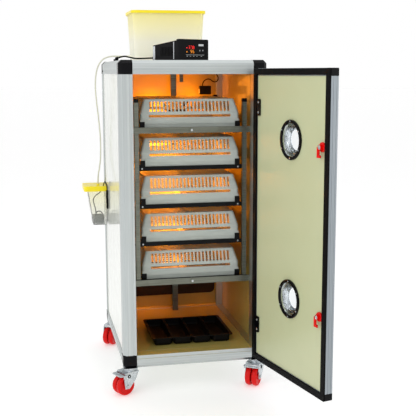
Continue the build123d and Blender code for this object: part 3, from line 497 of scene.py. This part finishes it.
CONTROLLER_CABLE = [
    (-98.6436, -10.4456, 1252.0),
    (-108.6436, 6.8750, 1252.0),
    (-134.0, 26.0, 1251.0),
    (-166.0, 14.0, 1250.0),
    (-193.0, -10.0, 1255.0),
    (-219.0, -33.0, 1260.0),
    (-243.0, -47.0, 1251.0),
]
FEED_TUBE = [
    (-180.0, 205.0, 1262.0),
    (-208.0, 205.0, 1262.0),
    (-247.0, 213.0, 1263.0),
    (-278.0, 226.0, 1251.0),
    (-298.0, 234.0, 1221.0),
    (-307.0, 238.0, 1178.0),
    (-309.0, 240.0, 1126.0),
    (-304.0, 241.0, 1068.0),
    (-298.0, 240.5, 1009.0),
    (-293.0, 240.0, 950.0),
    (-291.0, 240.5, 891.0),
    (-293.0, 240.0, 833.0),
    (-299.0, 240.5, 791.0),
    (-306.0, 240.0, 757.0),
    (-306.0, 240.0, 728.0),
]
PUMP_CABLE = [
    (-318.0, 236.0, 597.0),
    (-318.0, 236.0, 616.0),
    (-325.0, 228.0, 640.0),
    (-331.0, 221.0, 661.0),
    (-321.0, 216.0, 680.0),
    (-301.0, 213.0, 692.0),
    (-287.0, 212.0, 713.0),
    (-284.0, 206.0, 738.0),
    (-278.0, 190.0, 742.0),
    (-274.0, 180.0, 726.0),
    (-274.0, 180.0, 706.5),
]
SENSOR_CABLE = [
    (158.0, 275.0, 1138.0),
    (158.0, 275.0, 1157.0),
    (186.0, 273.0, 1171.0),
    (208.0, 271.0, 1152.0),
    (224.0, 270.0, 1158.0),
    (228.0, 270.0, 1173.0),
    (219.0, 271.0, 1187.0),
    (212.0, 272.0, 1202.0),
    (212.0, 272.0, 1217.0),
]
cord_piece("controller_lead", "controller_cable", CONTROLLER_CABLE, 3.0, "cable_black")
cord_piece("feed_hose", "feed_tube", FEED_TUBE, 3.0, "tube_clear")
cord_piece("pump_lead", "pump_cable", PUMP_CABLE, 1.9, "cable_black")
cord_piece("sensor_lead", "sensor_cable", SENSOR_CABLE, 2.3, "cable_black")


# ---- piece builders -------------------------------------------------------------------------
def finish_piece(mesh, name, body, material, bevel=0.0, smooth=True):
    data = bpy.data.meshes.new(name)
    mesh.normal_update()
    mesh.to_mesh(data)
    mesh.free()
    piece = bpy.data.objects.new(name, data)
    SCENE.collection.objects.link(piece)
    data.materials.append(material)
    if smooth:
        for face in data.polygons:
            face.use_smooth = True
        data.set_sharp_from_angle(angle=SHARP)
    if bevel:
        edge = piece.modifiers.new("bevel", "BEVEL")
        edge.width, edge.segments, edge.limit_method = bevel, 2, "ANGLE"
        edge.angle_limit = SHARP
    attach(piece, body)
    return piece


def axes_for(direction):
    """Two unit vectors square to a direction."""
    along = Vector(direction).normalized()
    guide = Vector((0, 0, 1)) if abs(along.z) < 0.9 else Vector((1, 0, 0))
    side = along.cross(guide).normalized()
    return along, side, along.cross(side)


def add_lathe(mesh, centre, direction, profile, steps=48):
    """Turn (radius, along) pairs round an axis; the ends are closed where their radius is 0."""
    along, side, other = axes_for(direction)
    rings = []
    for radius, offset in profile:
        spot = Vector(centre) + along * offset
        if radius < 1e-7:
            rings.append([mesh.verts.new(spot)])
            continue
        ring = []
        for i in range(steps):
            a = 2 * math.pi * i / steps
            ring.append(mesh.verts.new(spot + side * radius * math.cos(a) + other * radius * math.sin(a)))
        rings.append(ring)
    for first, second in zip(rings, rings[1:]):
        for i in range(steps):
            j = (i + 1) % steps
            corners = [first[i % len(first)], first[j % len(first)],
                       second[j % len(second)], second[i % len(second)]]
            unique = list(dict.fromkeys(corners))
            if len(unique) > 2:
                mesh.faces.new(unique)


def add_box(mesh, lo, hi, place=None):
    """An axis-aligned block, or one turned by place (a function of a point)."""
    corners = [(x, y, z) for x in (lo[0], hi[0]) for y in (lo[1], hi[1]) for z in (lo[2], hi[2])]
    verts = [mesh.verts.new(place(*c) if place else c) for c in corners]
    for quad in ((0, 1, 3, 2), (4, 6, 7, 5), (0, 4, 5, 1), (2, 3, 7, 6), (0, 2, 6, 4), (1, 5, 7, 3)):
        mesh.faces.new([verts[i] for i in quad])


def add_screw(mesh, centre, direction, radius, drive="cross"):
    """Screw on a washer: a pan head with a recess, or a hexagon head."""
    r, h = radius, radius * 0.55
    washer = [(0, 0), (r * 1.45, 0), (r * 1.45, h * 0.22), (r * 1.3, h * 0.3), (0, h * 0.3)]
    add_lathe(mesh, centre, direction, washer, 28)
    if drive == "hex":
        head = [(0, h * 0.3), (r, h * 0.3), (r, h * 1.15), (r * 0.86, h * 1.35), (0, h * 1.35)]
        add_lathe(mesh, centre, direction, head, 6)
        return
    dome = [(r, h * 0.3), (r, h * 0.6), (r * 0.86, h * 0.9), (r * 0.6, h * 1.08), (r * 0.34, h * 1.12),
            (r * 0.3, h * 0.75), (0, h * 0.6)]
    add_lathe(mesh, centre, direction, dome, 24)


def closed_up(mesh):
    bmesh.ops.recalc_face_normals(mesh, faces=mesh.faces)
    return mesh


# ---- turner details -------------------------------------------------------------------------
CAP_WALL, CAP_GRIP = 0.4 * MM, 12 * MM


def upright_caps(side):
    """Black push-on caps round the top ends of the two square tubes."""
    lo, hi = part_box(f"turner_upright_{side}")
    tube = hi.x - lo.x
    mesh = bmesh.new()
    for y0, y1 in ((lo.y, lo.y + tube), (hi.y - tube, hi.y)):
        add_box(mesh, (lo.x - CAP_WALL, y0 - CAP_WALL, hi.z - CAP_GRIP),
                (hi.x + CAP_WALL, y1 + CAP_WALL, hi.z + 1.6 * MM))
    finish_piece(closed_up(mesh), f"upright_caps_{side}", f"upright_{side}",
                 MATERIALS["corner_black"], bevel=1.2 * MM, smooth=False)


def rail_bolts():
    """Bolt heads at the middle of the two front rails."""
    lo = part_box("turner_pivots")[0]
    mesh = bmesh.new()
    for joint in ("tray_tilt", f"tray_{TRAYS}_tilt"):
        x, _, z = JOINTS[joint]["pos_m"]
        add_screw(mesh, (x, lo.y, z), (0, -1, 0), 3.0 * MM, "hex")
    finish_piece(closed_up(mesh), "rail_bolts", "cabinet", SCREW_STEEL)


def carrier_rivets():
    """Rivets where each carrier's ears and lugs meet its bars, front and rear."""
    rivet = [(3.4 * MM, 0), (3.0 * MM, 0.7 * MM), (1.6 * MM, 1.2 * MM), (0, 1.3 * MM)]
    for i in range(1, TRAYS + 1):
        lo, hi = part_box(f"tray_carrier_{i}")
        mesh = bmesh.new()
        z = lo.z + 9 * MM
        for x in (lo.x + 30 * MM, hi.x - 30 * MM):
            for y, out in ((lo.y, -1), (hi.y, 1)):
                add_lathe(mesh, (x, y, z), (0, out, 0), rivet, 20)
        finish_piece(closed_up(mesh), f"carrier_rivets_{i}", f"tray_{i}", SCREW_STEEL)


for label in ("left", "right"):
    upright_caps(label)
rail_bolts()
carrier_rivets()


# ---- door details -----------------------------------------------------------------------------
DOOR_REST = -JOINTS["door_hinge"]["range_deg"][0]
DOOR_TURN = Matrix.Rotation(math.radians(DOOR_REST), 3, "Z")
PIN = Vector(JOINTS["door_hinge"]["pos_m"])
PIN.z = 0
PIN_Y = (PIN.y - CENTRE.y) / MM
PIN_INSET, DOOR_T = 7.0, 28.0
DOOR_OUT_Y = PIN_Y + PIN_INSET
DOOR_IN_Y = DOOR_OUT_Y + DOOR_T


def door_spot(x, y, z):
    """A point given on the closed door in the cabinet's millimetres, at the door's rest place."""
    return PIN + DOOR_TURN @ (at(x, y, z) - PIN)


def door_way(x, y):
    """A direction given on the closed door, as it points at the door's rest place."""
    return DOOR_TURN @ Vector((x, y, 0))


WINDOW_X, WINDOW_ZS = -12.0, (971.0, 420.0)
WINDOW_SCREWS, SCREW_RING_R = 6, 62.6
HINGE_ZS = (1072.0, 268.0)


def window_rings():
    """Bright stepped trim behind each clear window, and screws round its black ring."""
    for label, z in zip(("upper", "lower"), WINDOW_ZS):
        mesh = bmesh.new()
        steps = [(56.8, -4.6), (52.0, -4.8), (49.5, -6.4), (47.4, -13.6), (42.8, -13.8), (38.5, -22.4),
                 (36.0, -22.6), (36.0, -24.2), (39.4, -24.2), (43.6, -15.4), (48.6, -15.2),
                 (51.2, -7.8), (56.8, -7.4)]
        centre = door_spot(WINDOW_X, DOOR_IN_Y, z)
        ring = [(r * MM, -v * MM) for r, v in steps]
        add_lathe(mesh, centre, -door_way(0, 1), ring + ring[:1], 72)
        finish_piece(closed_up(mesh), f"window_trim_{label}", "door", CHROME)
        mesh = bmesh.new()
        for i in range(WINDOW_SCREWS):
            a = math.radians(360 / WINDOW_SCREWS * i + 30)
            x, dz = WINDOW_X + SCREW_RING_R * math.cos(a), SCREW_RING_R * math.sin(a)
            add_screw(mesh, door_spot(x, DOOR_IN_Y + 5.8, z + dz), door_way(0, 1), 2.0 * MM)
            add_screw(mesh, door_spot(x, DOOR_OUT_Y - 4.8, z + dz), door_way(0, -1), 2.0 * MM)
        finish_piece(closed_up(mesh), f"window_screws_{label}", "door", SCREW_STEEL)


def hinge_screws():
    """Screws in both faces of the door's leaves, and in the cabinet's halves."""
    mesh = bmesh.new()
    for z in HINGE_ZS:
        for dz in (-18, 18):
            add_screw(mesh, door_spot(215.0, DOOR_IN_Y + 3.9, z + dz), door_way(0, 1), 3.4 * MM)
            add_screw(mesh, door_spot(217.0, DOOR_OUT_Y - 3.1, z + dz), door_way(0, -1), 3.4 * MM)
    finish_piece(closed_up(mesh), "hinge_screws", "door", SCREW_STEEL)
    mesh = bmesh.new()
    face_y = (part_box("hinge_blocks")[0].y - CENTRE.y) / MM
    for z in HINGE_ZS:
        for dz in (-17, 17):
            add_screw(mesh, at(263.5, face_y + 0.1, z + dz), (0, -1, 0), 3.2 * MM)
    finish_piece(closed_up(mesh), "hinge_block_screws", "cabinet", SCREW_STEEL)


def latch_details():
    """Steel screw in the middle of each hook, and a raised rim on its disc."""
    rim = [(15.2 * MM, 0), (14.6 * MM, 1.0 * MM), (12.6 * MM, 1.0 * MM), (12.0 * MM, 0)]
    for label in ("upper", "lower"):
        joint = JOINTS[f"{label}_latch_turn"]
        spot, out = Vector(joint["pos_m"]), Vector(joint["axis"])
        mesh = bmesh.new()
        add_screw(mesh, spot + out * 15.4 * MM, out, 5.0 * MM)
        finish_piece(closed_up(mesh), f"{label}_latch_screw", f"{label}_latch", SCREW_STEEL)
        mesh = bmesh.new()
        add_lathe(mesh, spot + out * 5.6 * MM, out, rim, 48)
        finish_piece(closed_up(mesh), f"{label}_latch_rim", f"{label}_latch",
                     MATERIALS["latch_red"])


window_rings()
hinge_screws()
latch_details()


# ---- controller details -------------------------------------------------------------------------
FRONT_T = 14.0                # the front moulding's thickness
PANEL_Y = 1.0                 # the display panel's face, behind the front's rim
DIGIT_W, DIGIT_H, STROKE, DIGIT_PITCH = 6.4, 10.4, 0.9, 10.5
SEGMENTS = {"3": "abgcd", "5": "afgcd", "7": "abc", "8": "abcdefg"}
ROWS = (("red", "378", 50.0, 48.4, LIT_RED), ("amber", "55", 60.0, 32.8, LIT_AMBER))
PRINT_THICK, LINE_HALF = 0.25, 0.45


def controller_spot(x, y, z):
    """A point in the controller's own millimetres: its front face is y = 0, before it is turned."""
    front_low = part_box("controller_front")[0]
    inward = Vector(JOINTS["key_1_press"]["axis"])
    right = Vector((inward.y, -inward.x, 0))
    corner = Vector((front_low.x - FRONT_T * MM * inward.x, front_low.y, front_low.z))
    return corner + right * x * MM + inward * y * MM + Vector((0, 0, z * MM))


def add_on_panel(mesh, outline, thick=0.5):
    """A flat shape of (x, z) points standing off the display panel."""
    front = [mesh.verts.new(controller_spot(x, PANEL_Y - thick, z)) for x, z in outline]
    back = [mesh.verts.new(controller_spot(x, PANEL_Y, z)) for x, z in outline]
    mesh.faces.new(front)
    mesh.faces.new(back[::-1])
    for i in range(len(outline)):
        j = (i + 1) % len(outline)
        mesh.faces.new([front[i], back[i], back[j], front[j]])


def segment_outline(x0, z0, x1, z1):
    """A bar with pointed ends between two points, level or upright."""
    s = STROKE / 2
    if abs(x1 - x0) > abs(z1 - z0):
        return [(x0, z0), (x0 + s, z0 + s), (x1 - s, z0 + s), (x1, z0), (x1 - s, z0 - s), (x0 + s, z0 - s)]
    return [(x0, z0), (x0 + s, z0 + s), (x0 + s, z1 - s), (x0, z1), (x0 - s, z1 - s), (x0 - s, z0 + s)]


def add_digit(mesh, digit, x, z, w, h):
    gap, mid = 0.35, z + h / 2
    bars = {
        "a": (x + gap, z + h, x + w - gap, z + h),
        "g": (x + gap, mid, x + w - gap, mid),
        "d": (x + gap, z, x + w - gap, z),
        "f": (x, mid + gap, x, z + h - gap), "b": (x + w, mid + gap, x + w, z + h - gap),
        "e": (x, z + gap, x, mid - gap), "c": (x + w, z + gap, x + w, mid - gap),
    }
    for name in SEGMENTS[digit]:
        add_on_panel(mesh, segment_outline(*bars[name]))


def add_dot(mesh, x, z, r, steps=16):
    turns = [2 * math.pi * i / steps for i in range(steps)]
    add_on_panel(mesh, [(x + r * math.cos(a), z + r * math.sin(a)) for a in turns])


def display():
    """Two rows of digits with their lights, a printed line, a white label and short marks."""
    for colour, digits, start, z, material in ROWS:
        mesh = bmesh.new()
        for i, digit in enumerate(digits):
            add_digit(mesh, digit, start + i * DIGIT_PITCH, z, DIGIT_W, DIGIT_H)
        if colour == "red":
            add_dot(mesh, start + 19.2, z, 0.8)
        add_dot(mesh, 41.0, z + 3.4, 1.8)
        finish_piece(closed_up(mesh), f"display_{colour}", "cabinet", material,
                     smooth=False)
    mesh = bmesh.new()
    for x0, z0, x1, z1 in ((37, 25, 128, 25), (101, 59, 125, 65.5)):
        left, right, foot, top = x0 - LINE_HALF, x1 + LINE_HALF, z0 - LINE_HALF, z1 + LINE_HALF
        add_on_panel(mesh, [(left, foot), (right, foot), (right, top), (left, top)], PRINT_THICK)
    for x in (40, 56, 72, 88, 112):
        add_on_panel(mesh, [(x, 19.4), (x + 6, 19.4), (x + 6, 20.6), (x, 20.6)], PRINT_THICK)
    finish_piece(closed_up(mesh), "display_print", "cabinet", PRINT_WHITE,
                 smooth=False)


CASE_TOP, CASE_FALL, CASE_DEPTH = 80.0, 17.0, 151.0


def case_top(y):
    """Height of the controller case's sloping top."""
    return CASE_TOP - CASE_FALL * (y - FRONT_T) / CASE_DEPTH


def controller_trims():
    """Bright side strips, the side clamp and the lid screws of the controller's case."""
    mesh = bmesh.new()
    for y0, y1 in ((34.0, 38.0), (150.0, 163.5)):
        add_box(mesh, (4.6, y0, 8.0), (6.2, y1, case_top(y1) - 3.0), controller_spot)
    add_box(mesh, (143.8, 16.0, 6.0), (145.4, 19.0, 70.0), controller_spot)
    finish_piece(closed_up(mesh), "controller_strips", "cabinet", STRIP_SILVER,
                 bevel=0.4 * MM, smooth=False)
    mesh = bmesh.new()
    add_box(mesh, (144.2, 20.0, 4.0), (160.0, 52.0, 62.0), controller_spot)
    finish_piece(closed_up(mesh), "controller_clamp", "cabinet",
                 MATERIALS["controller_black"], bevel=1.5 * MM, smooth=False)
    mesh = bmesh.new()
    for x in (16.0, 134.0):
        for y in (24.0, 155.0):
            add_screw(mesh, controller_spot(x, y, case_top(y) - 0.2), (0, 0, 1), 2.6 * MM)
    finish_piece(closed_up(mesh), "controller_screws", "cabinet", SCREW_STEEL)


def key_marks():
    """A raised triangle on each key: up and down."""
    for i, up in ((1, 1), (2, -1)):
        lo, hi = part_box(f"controller_key_{i}")
        inward = Vector(JOINTS[f"key_{i}_press"]["axis"])
        right = Vector((inward.y, -inward.x, 0))
        face = (lo + hi) / 2 - inward * 3.95 * MM
        mesh = bmesh.new()
        pair = []
        for depth in (0.0, -0.35):
            points = [(-2.4, -1.8 * up), (2.4, -1.8 * up), (0, 2.2 * up)]
            base = face + inward * depth * MM
            pair.append([mesh.verts.new(base + right * x * MM + Vector((0, 0, z * MM))) for x, z in points])
        mesh.faces.new(pair[0])
        mesh.faces.new(pair[1][::-1])
        for a in range(3):
            b = (a + 1) % 3
            mesh.faces.new([pair[0][a], pair[0][b], pair[1][b], pair[1][a]])
        finish_piece(closed_up(mesh), f"key_mark_{i}", f"key_{i}", PRINT_WHITE, smooth=False)


display()
controller_trims()
key_marks()


# ---- casters --------------------------------------------------------------------------------------
CASTER_NAMES = sorted(name[len("caster_fork_"):] for name in NODES if name.startswith("caster_fork_"))
WHEEL_PROFILE = [
    (4.3, 2.0), (12.0, 2.0), (12.6, 4.4), (25.5, 5.4), (28.0, 3.0), (31.0, 2.2), (34.6, 3.6),
    (36.6, 7.0), (37.4, 11.0), (37.4, 15.0), (36.6, 19.0), (34.6, 22.4), (31.0, 23.8), (28.0, 23.0),
    (25.5, 20.2), (12.8, 20.2), (12.0, 23.6), (4.3, 23.8),
]
RUBBER_RING = [(3.1, 0), (6.6, 0), (6.4, 1.2), (5.6, 1.6), (3.1, 1.6), (3.1, 0)]
HUB_PROFILE = [(4.4, 23.6), (4.4, 24.9), (7.6, 24.9), (8.8, 24.3), (9.0, 23.6)]
LEG_OUT, ARM_OUT = 29.0, 31.4         # outer faces of the fork's legs and of the pedal's arms
PEDAL_SPOT = (26.0, 75.0)             # the pedal's pivot, along the trail and above the floor
PLATE_BOLT = 21.4                     # the plate bolts, from the swivel's centre each way
SUNK = 0.1                            # how far a detail's foot goes into the face it stands on


def caster_frame(name):
    """The caster's swivel centre on the floor, its trail direction and its axle direction."""
    axle = Vector(JOINTS[f"roll_{name}"]["axis"])
    trail = Vector((axle.y, -axle.x, 0))
    x, y, _ = JOINTS[f"swivel_{name}"]["pos_m"]
    return Vector((x, y, 0)), trail, axle


def caster_wheels(name):
    """Turned twin wheels with recessed sides and a rounded tread, and their bearing rings."""
    joint = JOINTS[f"roll_{name}"]
    centre, axle = Vector(joint["pos_m"]), Vector(joint["axis"])
    mesh, hubs = bmesh.new(), bmesh.new()
    for side in (-1, 1):
        for target, profile in ((mesh, WHEEL_PROFILE), (hubs, HUB_PROFILE)):
            ring = [(r * MM, v * MM) for r, v in profile]
            add_lathe(target, centre, axle * side, ring + ring[:1], 64)
    piece = finish_piece(closed_up(mesh), f"wheels_{name}", f"wheels_{name}",
                         MATERIALS["wheel_red"])
    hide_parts(f"caster_wheels_{name}")
    finish_piece(closed_up(hubs), f"wheel_bearings_{name}", f"wheels_{name}", SCREW_STEEL)


def axle_nuts(name):
    """Axle nuts and rivets on the outer faces of the fork's legs."""
    centre, trail, axle = caster_frame(name)
    mesh = bmesh.new()
    spot = Vector(JOINTS[f"roll_{name}"]["pos_m"])
    dome = [(3.2 * MM, 0), (2.8 * MM, 0.9 * MM), (1.4 * MM, 1.5 * MM), (0, 1.6 * MM)]
    for side in (-1, 1):
        add_screw(mesh, spot + axle * side * (LEG_OUT - SUNK) * MM, axle * side, 5.6 * MM, "hex")
    for side in (-1, 1):
        leg = centre + axle * side * (LEG_OUT - SUNK) * MM
        add_lathe(mesh, leg + trail * -9 * MM + Vector((0, 0, 78 * MM)), axle * side, dome, 20)
    finish_piece(closed_up(mesh), f"axle_nuts_{name}", f"fork_{name}", SCREW_STEEL)


def brake_details(name):
    """Rubber rings on the pedal pivots and the grip ribs of the tread plate."""
    centre, trail, axle = caster_frame(name)
    x, z = PEDAL_SPOT
    rings, ribs = bmesh.new(), bmesh.new()
    ring = [(r * MM, v * MM) for r, v in RUBBER_RING]
    for side in (-1, 1):
        spot = centre + trail * x * MM + axle * side * (ARM_OUT - SUNK) * MM + Vector((0, 0, z * MM))
        add_lathe(rings, spot, axle * side, ring, 36)
    finish_piece(closed_up(rings), f"pedal_rings_{name}", f"brake_{name}",
                 MATERIALS["seal_rubber"])

    def place(a, b, c):
        return centre + trail * a * MM + axle * b * MM + Vector((0, 0, c * MM))

    for i in range(4):
        along = 48.5 + i * 4.0
        half = 27.0 if along < 55 else 21.0
        add_box(ribs, (along, -half, 81.9), (along + 1.6, half, 83.1), place)
    finish_piece(closed_up(ribs), f"pedal_ribs_{name}", f"brake_{name}",
                 MATERIALS["zinc_steel"], bevel=0.4 * MM, smooth=False)


def plate_bolts():
    """Four bolt heads under each caster plate."""
    head = [(0, 0), (3.2 * MM, 0), (3.2 * MM, 1.6 * MM), (2.6 * MM, 2.1 * MM), (0, 2.1 * MM)]
    mesh = bmesh.new()
    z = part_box("caster_plates")[1].z - 3 * MM
    for name in CASTER_NAMES:
        centre, _, _ = caster_frame(name)
        for sx in (-1, 1):
            for sy in (-1, 1):
                spot = centre + Vector((sx * PLATE_BOLT * MM, sy * PLATE_BOLT * MM, z))
                add_lathe(mesh, spot, (0, 0, -1), head, 6)
    finish_piece(closed_up(mesh), "plate_bolts", "cabinet", SCREW_STEEL)


for caster in CASTER_NAMES:
    caster_wheels(caster)
    axle_nuts(caster)
    if f"caster_brake_{caster}" in NODES:
        brake_details(caster)
plate_bolts()


# ---- air, heat, water ------------------------------------------------------------------------------
def wire_piece(name, body, material, loops, radius):
    """Round wire along closed or open loops of points, as one mesh."""
    data = bpy.data.curves.new(name, "CURVE")
    data.dimensions = "3D"
    data.bevel_depth, data.bevel_resolution = radius, 4
    for points, cyclic in loops:
        spline = data.splines.new("POLY")
        spline.points.add(len(points) - 1)
        for point, spot in zip(spline.points, points):
            point.co = (*spot, 1.0)
        spline.use_cyclic_u = cyclic
    curve = bpy.data.objects.new(name + "_wire", data)
    mesh = bpy.data.meshes.new_from_object(curve)
    bpy.data.objects.remove(curve)
    piece = bpy.data.objects.new(name, mesh)
    SCENE.collection.objects.link(piece)
    paint(piece, material)
    for face in mesh.polygons:
        face.use_smooth = True
    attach(piece, body)
    return piece


GUARD_RADII = (22, 42, 62, 82, 92)


def fan_guard():
    """Wire guard in front of the impeller: rings on four legs that reach the rear wall."""
    centre = Vector(JOINTS["fan_spin"]["pos_m"])
    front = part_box("fan_impeller")[0].y - 5 * MM
    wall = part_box("rear_panel")[0].y
    loops = []
    for radius in GUARD_RADII:
        ring = []
        for i in range(56):
            a = 2 * math.pi * i / 56
            x, z = centre.x + radius * MM * math.cos(a), centre.z + radius * MM * math.sin(a)
            ring.append(Vector((x, front, z)))
        loops.append((ring, True))
    for k in range(4):
        a = math.radians(45 + 90 * k)
        way = Vector((math.cos(a), 0, math.sin(a)))
        base = Vector((centre.x, front, centre.z))
        foot = base + way * GUARD_RADII[-1] * MM
        back = Vector((foot.x, wall, foot.z))
        hub = base + way * GUARD_RADII[0] * MM
        loops.append(([hub, base + way * 60 * MM, foot, foot + (back - foot) * 0.5, back], False))
    wire_piece("fan_guard", "cabinet", SCREW_STEEL, loops, 1.1 * MM)


def lamp_holder():
    """Ceramic holder and the lamp's threaded collar."""
    lo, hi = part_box("heater_lamp")
    x, z = (lo.x + hi.x) / 2, (lo.z + hi.z) / 2
    mesh = bmesh.new()
    cup = [(13.6, 2), (17.5, 2), (19, 5), (19.5, 20), (24.5, 24), (25, 33.9), (13.6, 33.9)]
    start = Vector((x, hi.y - 34 * MM, z))
    ring = [(r * MM, v * MM) for r, v in cup]
    add_lathe(mesh, start, (0, 1, 0), ring + ring[:1], 48)
    finish_piece(closed_up(mesh), "lamp_holder", "cabinet", CERAMIC)


def pump_arch():
    """Black handle loop over the pump's top."""
    lo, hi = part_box("pump")
    top = lo.z + 34 * MM
    x0, x1, y = lo.x + 8 * MM, hi.x - 6 * MM, hi.y - 12 * MM
    points = []
    for i in range(17):
        a = math.pi * i / 16
        points.append(Vector(((x0 + x1) / 2 - (x1 - x0) / 2 * math.cos(a), y, top + 13 * MM * math.sin(a))))
    wire_piece("pump_arch", "cabinet", MATERIALS["matt_black"], [(points, False)], 2.0 * MM)


def sensor_details():
    """Light label and the vent ribs of the sensor box."""
    lo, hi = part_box("sensor_box")
    mesh = bmesh.new()
    add_box(mesh, (lo.x - 0.6 * MM, lo.y + 4 * MM, lo.z + 4 * MM),
            (lo.x + 0.2 * MM, hi.y - 4 * MM, lo.z + 24 * MM))
    finish_piece(closed_up(mesh), "sensor_label", "cabinet", PRINT_WHITE,
                 bevel=0.2 * MM, smooth=False)
    mesh = bmesh.new()
    for i in range(5):
        z = lo.z + (7 + 5 * i) * MM
        add_box(mesh, (lo.x + 10 * MM, lo.y - 0.8 * MM, z), (hi.x - 8 * MM, lo.y + 0.2 * MM, z + 2.2 * MM))
    finish_piece(closed_up(mesh), "sensor_ribs", "cabinet", MATERIALS["matt_black"],
                 bevel=0.3 * MM, smooth=False)


fan_guard()
lamp_holder()
pump_arch()
sensor_details()


# ---- surroundings -------------------------------------------------------------------------------------
FLOOR_HALF, FLOOR_GLOW = 200.0, 0.3
WARM = (1.0, 0.27, 0.012)


def make_floor():
    """A white floor that runs out of sight."""
    mesh = bmesh.new()
    bmesh.ops.create_grid(mesh, x_segments=8, y_segments=8, size=FLOOR_HALF)
    data = bpy.data.meshes.new("floor")
    mesh.to_mesh(data)
    mesh.free()
    floor = bpy.data.objects.new("floor", data)
    SCENE.collection.objects.link(floor)
    s = Surface("floor_white", Specular_IOR_Level=0.1, Emission_Color=(1, 1, 1, 1),
                Emission_Strength=FLOOR_GLOW)
    s.colour(s.mixed(s.ranged(s.noise(3.0), 0, 1), (0.93, 0.93, 0.93, 1), (0.95, 0.95, 0.95, 1)))
    s.roughness(s.ranged(s.noise(40.0), 0.5, 0.6))
    data.materials.append(s.material)


def make_world():
    """White round the horizon, easing to a softer white overhead."""
    world = bpy.data.worlds.new("studio")
    SCENE.world = world
    world.use_nodes = True
    tree = world.node_tree
    background = tree.nodes["Background"]
    place = tree.nodes.new("ShaderNodeTexCoord").outputs["Generated"]
    split = tree.nodes.new("ShaderNodeSeparateXYZ")
    ramp = tree.nodes.new("ShaderNodeMapRange")
    tree.links.new(place, split.inputs["Vector"])
    tree.links.new(split.outputs["Z"], ramp.inputs["Value"])
    for socket, value in (("From Min", 0.25), ("From Max", 0.9), ("To Min", 1.0), ("To Max", 0.55)):
        ramp.inputs[socket].default_value = value
    tree.links.new(ramp.outputs["Result"], background.inputs["Strength"])
    background.inputs["Color"].default_value = (1, 1, 1, 1)


def area_light(name, spot, aim, size, power, colour=(1, 1, 1)):
    data = bpy.data.lights.new(name, "AREA")
    data.shape, data.size, data.energy, data.color = "SQUARE", size, power, colour
    light = bpy.data.objects.new(name, data)
    SCENE.collection.objects.link(light)
    light.location = at(*spot)
    light.rotation_mode = "QUATERNION"
    light.rotation_quaternion = (at(*aim) - at(*spot)).to_track_quat("-Z", "Y")


def warm_light(name, spot, power, radius):
    data = bpy.data.lights.new(name, "POINT")
    data.energy, data.shadow_soft_size, data.color = power, radius, WARM
    light = bpy.data.objects.new(name, data)
    SCENE.collection.objects.link(light)
    light.location = spot


make_floor()
make_world()
area_light("key", (-2200, -2600, 2600), (0, 0, 650), 2.2, 26)
area_light("fill", (2600, -2200, 1500), (0, -200, 650), 2.0, 8)
area_light("overhead", (200, -200, 3400), (0, 0, 600), 2.4, 14)
lamp_low, lamp_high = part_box("heater_lamp")
lamp_middle = (lamp_low + lamp_high) / 2
lamp_spot = Vector((lamp_middle.x, lamp_low.y - 8 * MM, lamp_middle.z))
warm_light("lamp_glow", lamp_spot, 5.0, 0.03)
warm_light("top_glow", at(110, 272, 1085), 1.5, 0.1)
GLOWS = ((1.2, 0.8), (2.4, 1.9), (2.6, 1.9), (2.2, 1.7), (1.0, 1.0))   # behind and in each tray, top down
for i, (rear, inner) in enumerate(GLOWS, 1):
    tray_z = JOINTS["tray_tilt" if i == 1 else f"tray_{i}_tilt"]["pos_m"][2]
    warm_light(f"rear_glow_{i}", at(-60, 264, 60) + Vector((0, 0, tray_z)), rear, 0.05)
    warm_light(f"basket_glow_{i}", at(-20, 60, 62) + Vector((0, 0, tray_z)), inner, 0.06)
SCENE.view_settings.view_transform = "Standard"
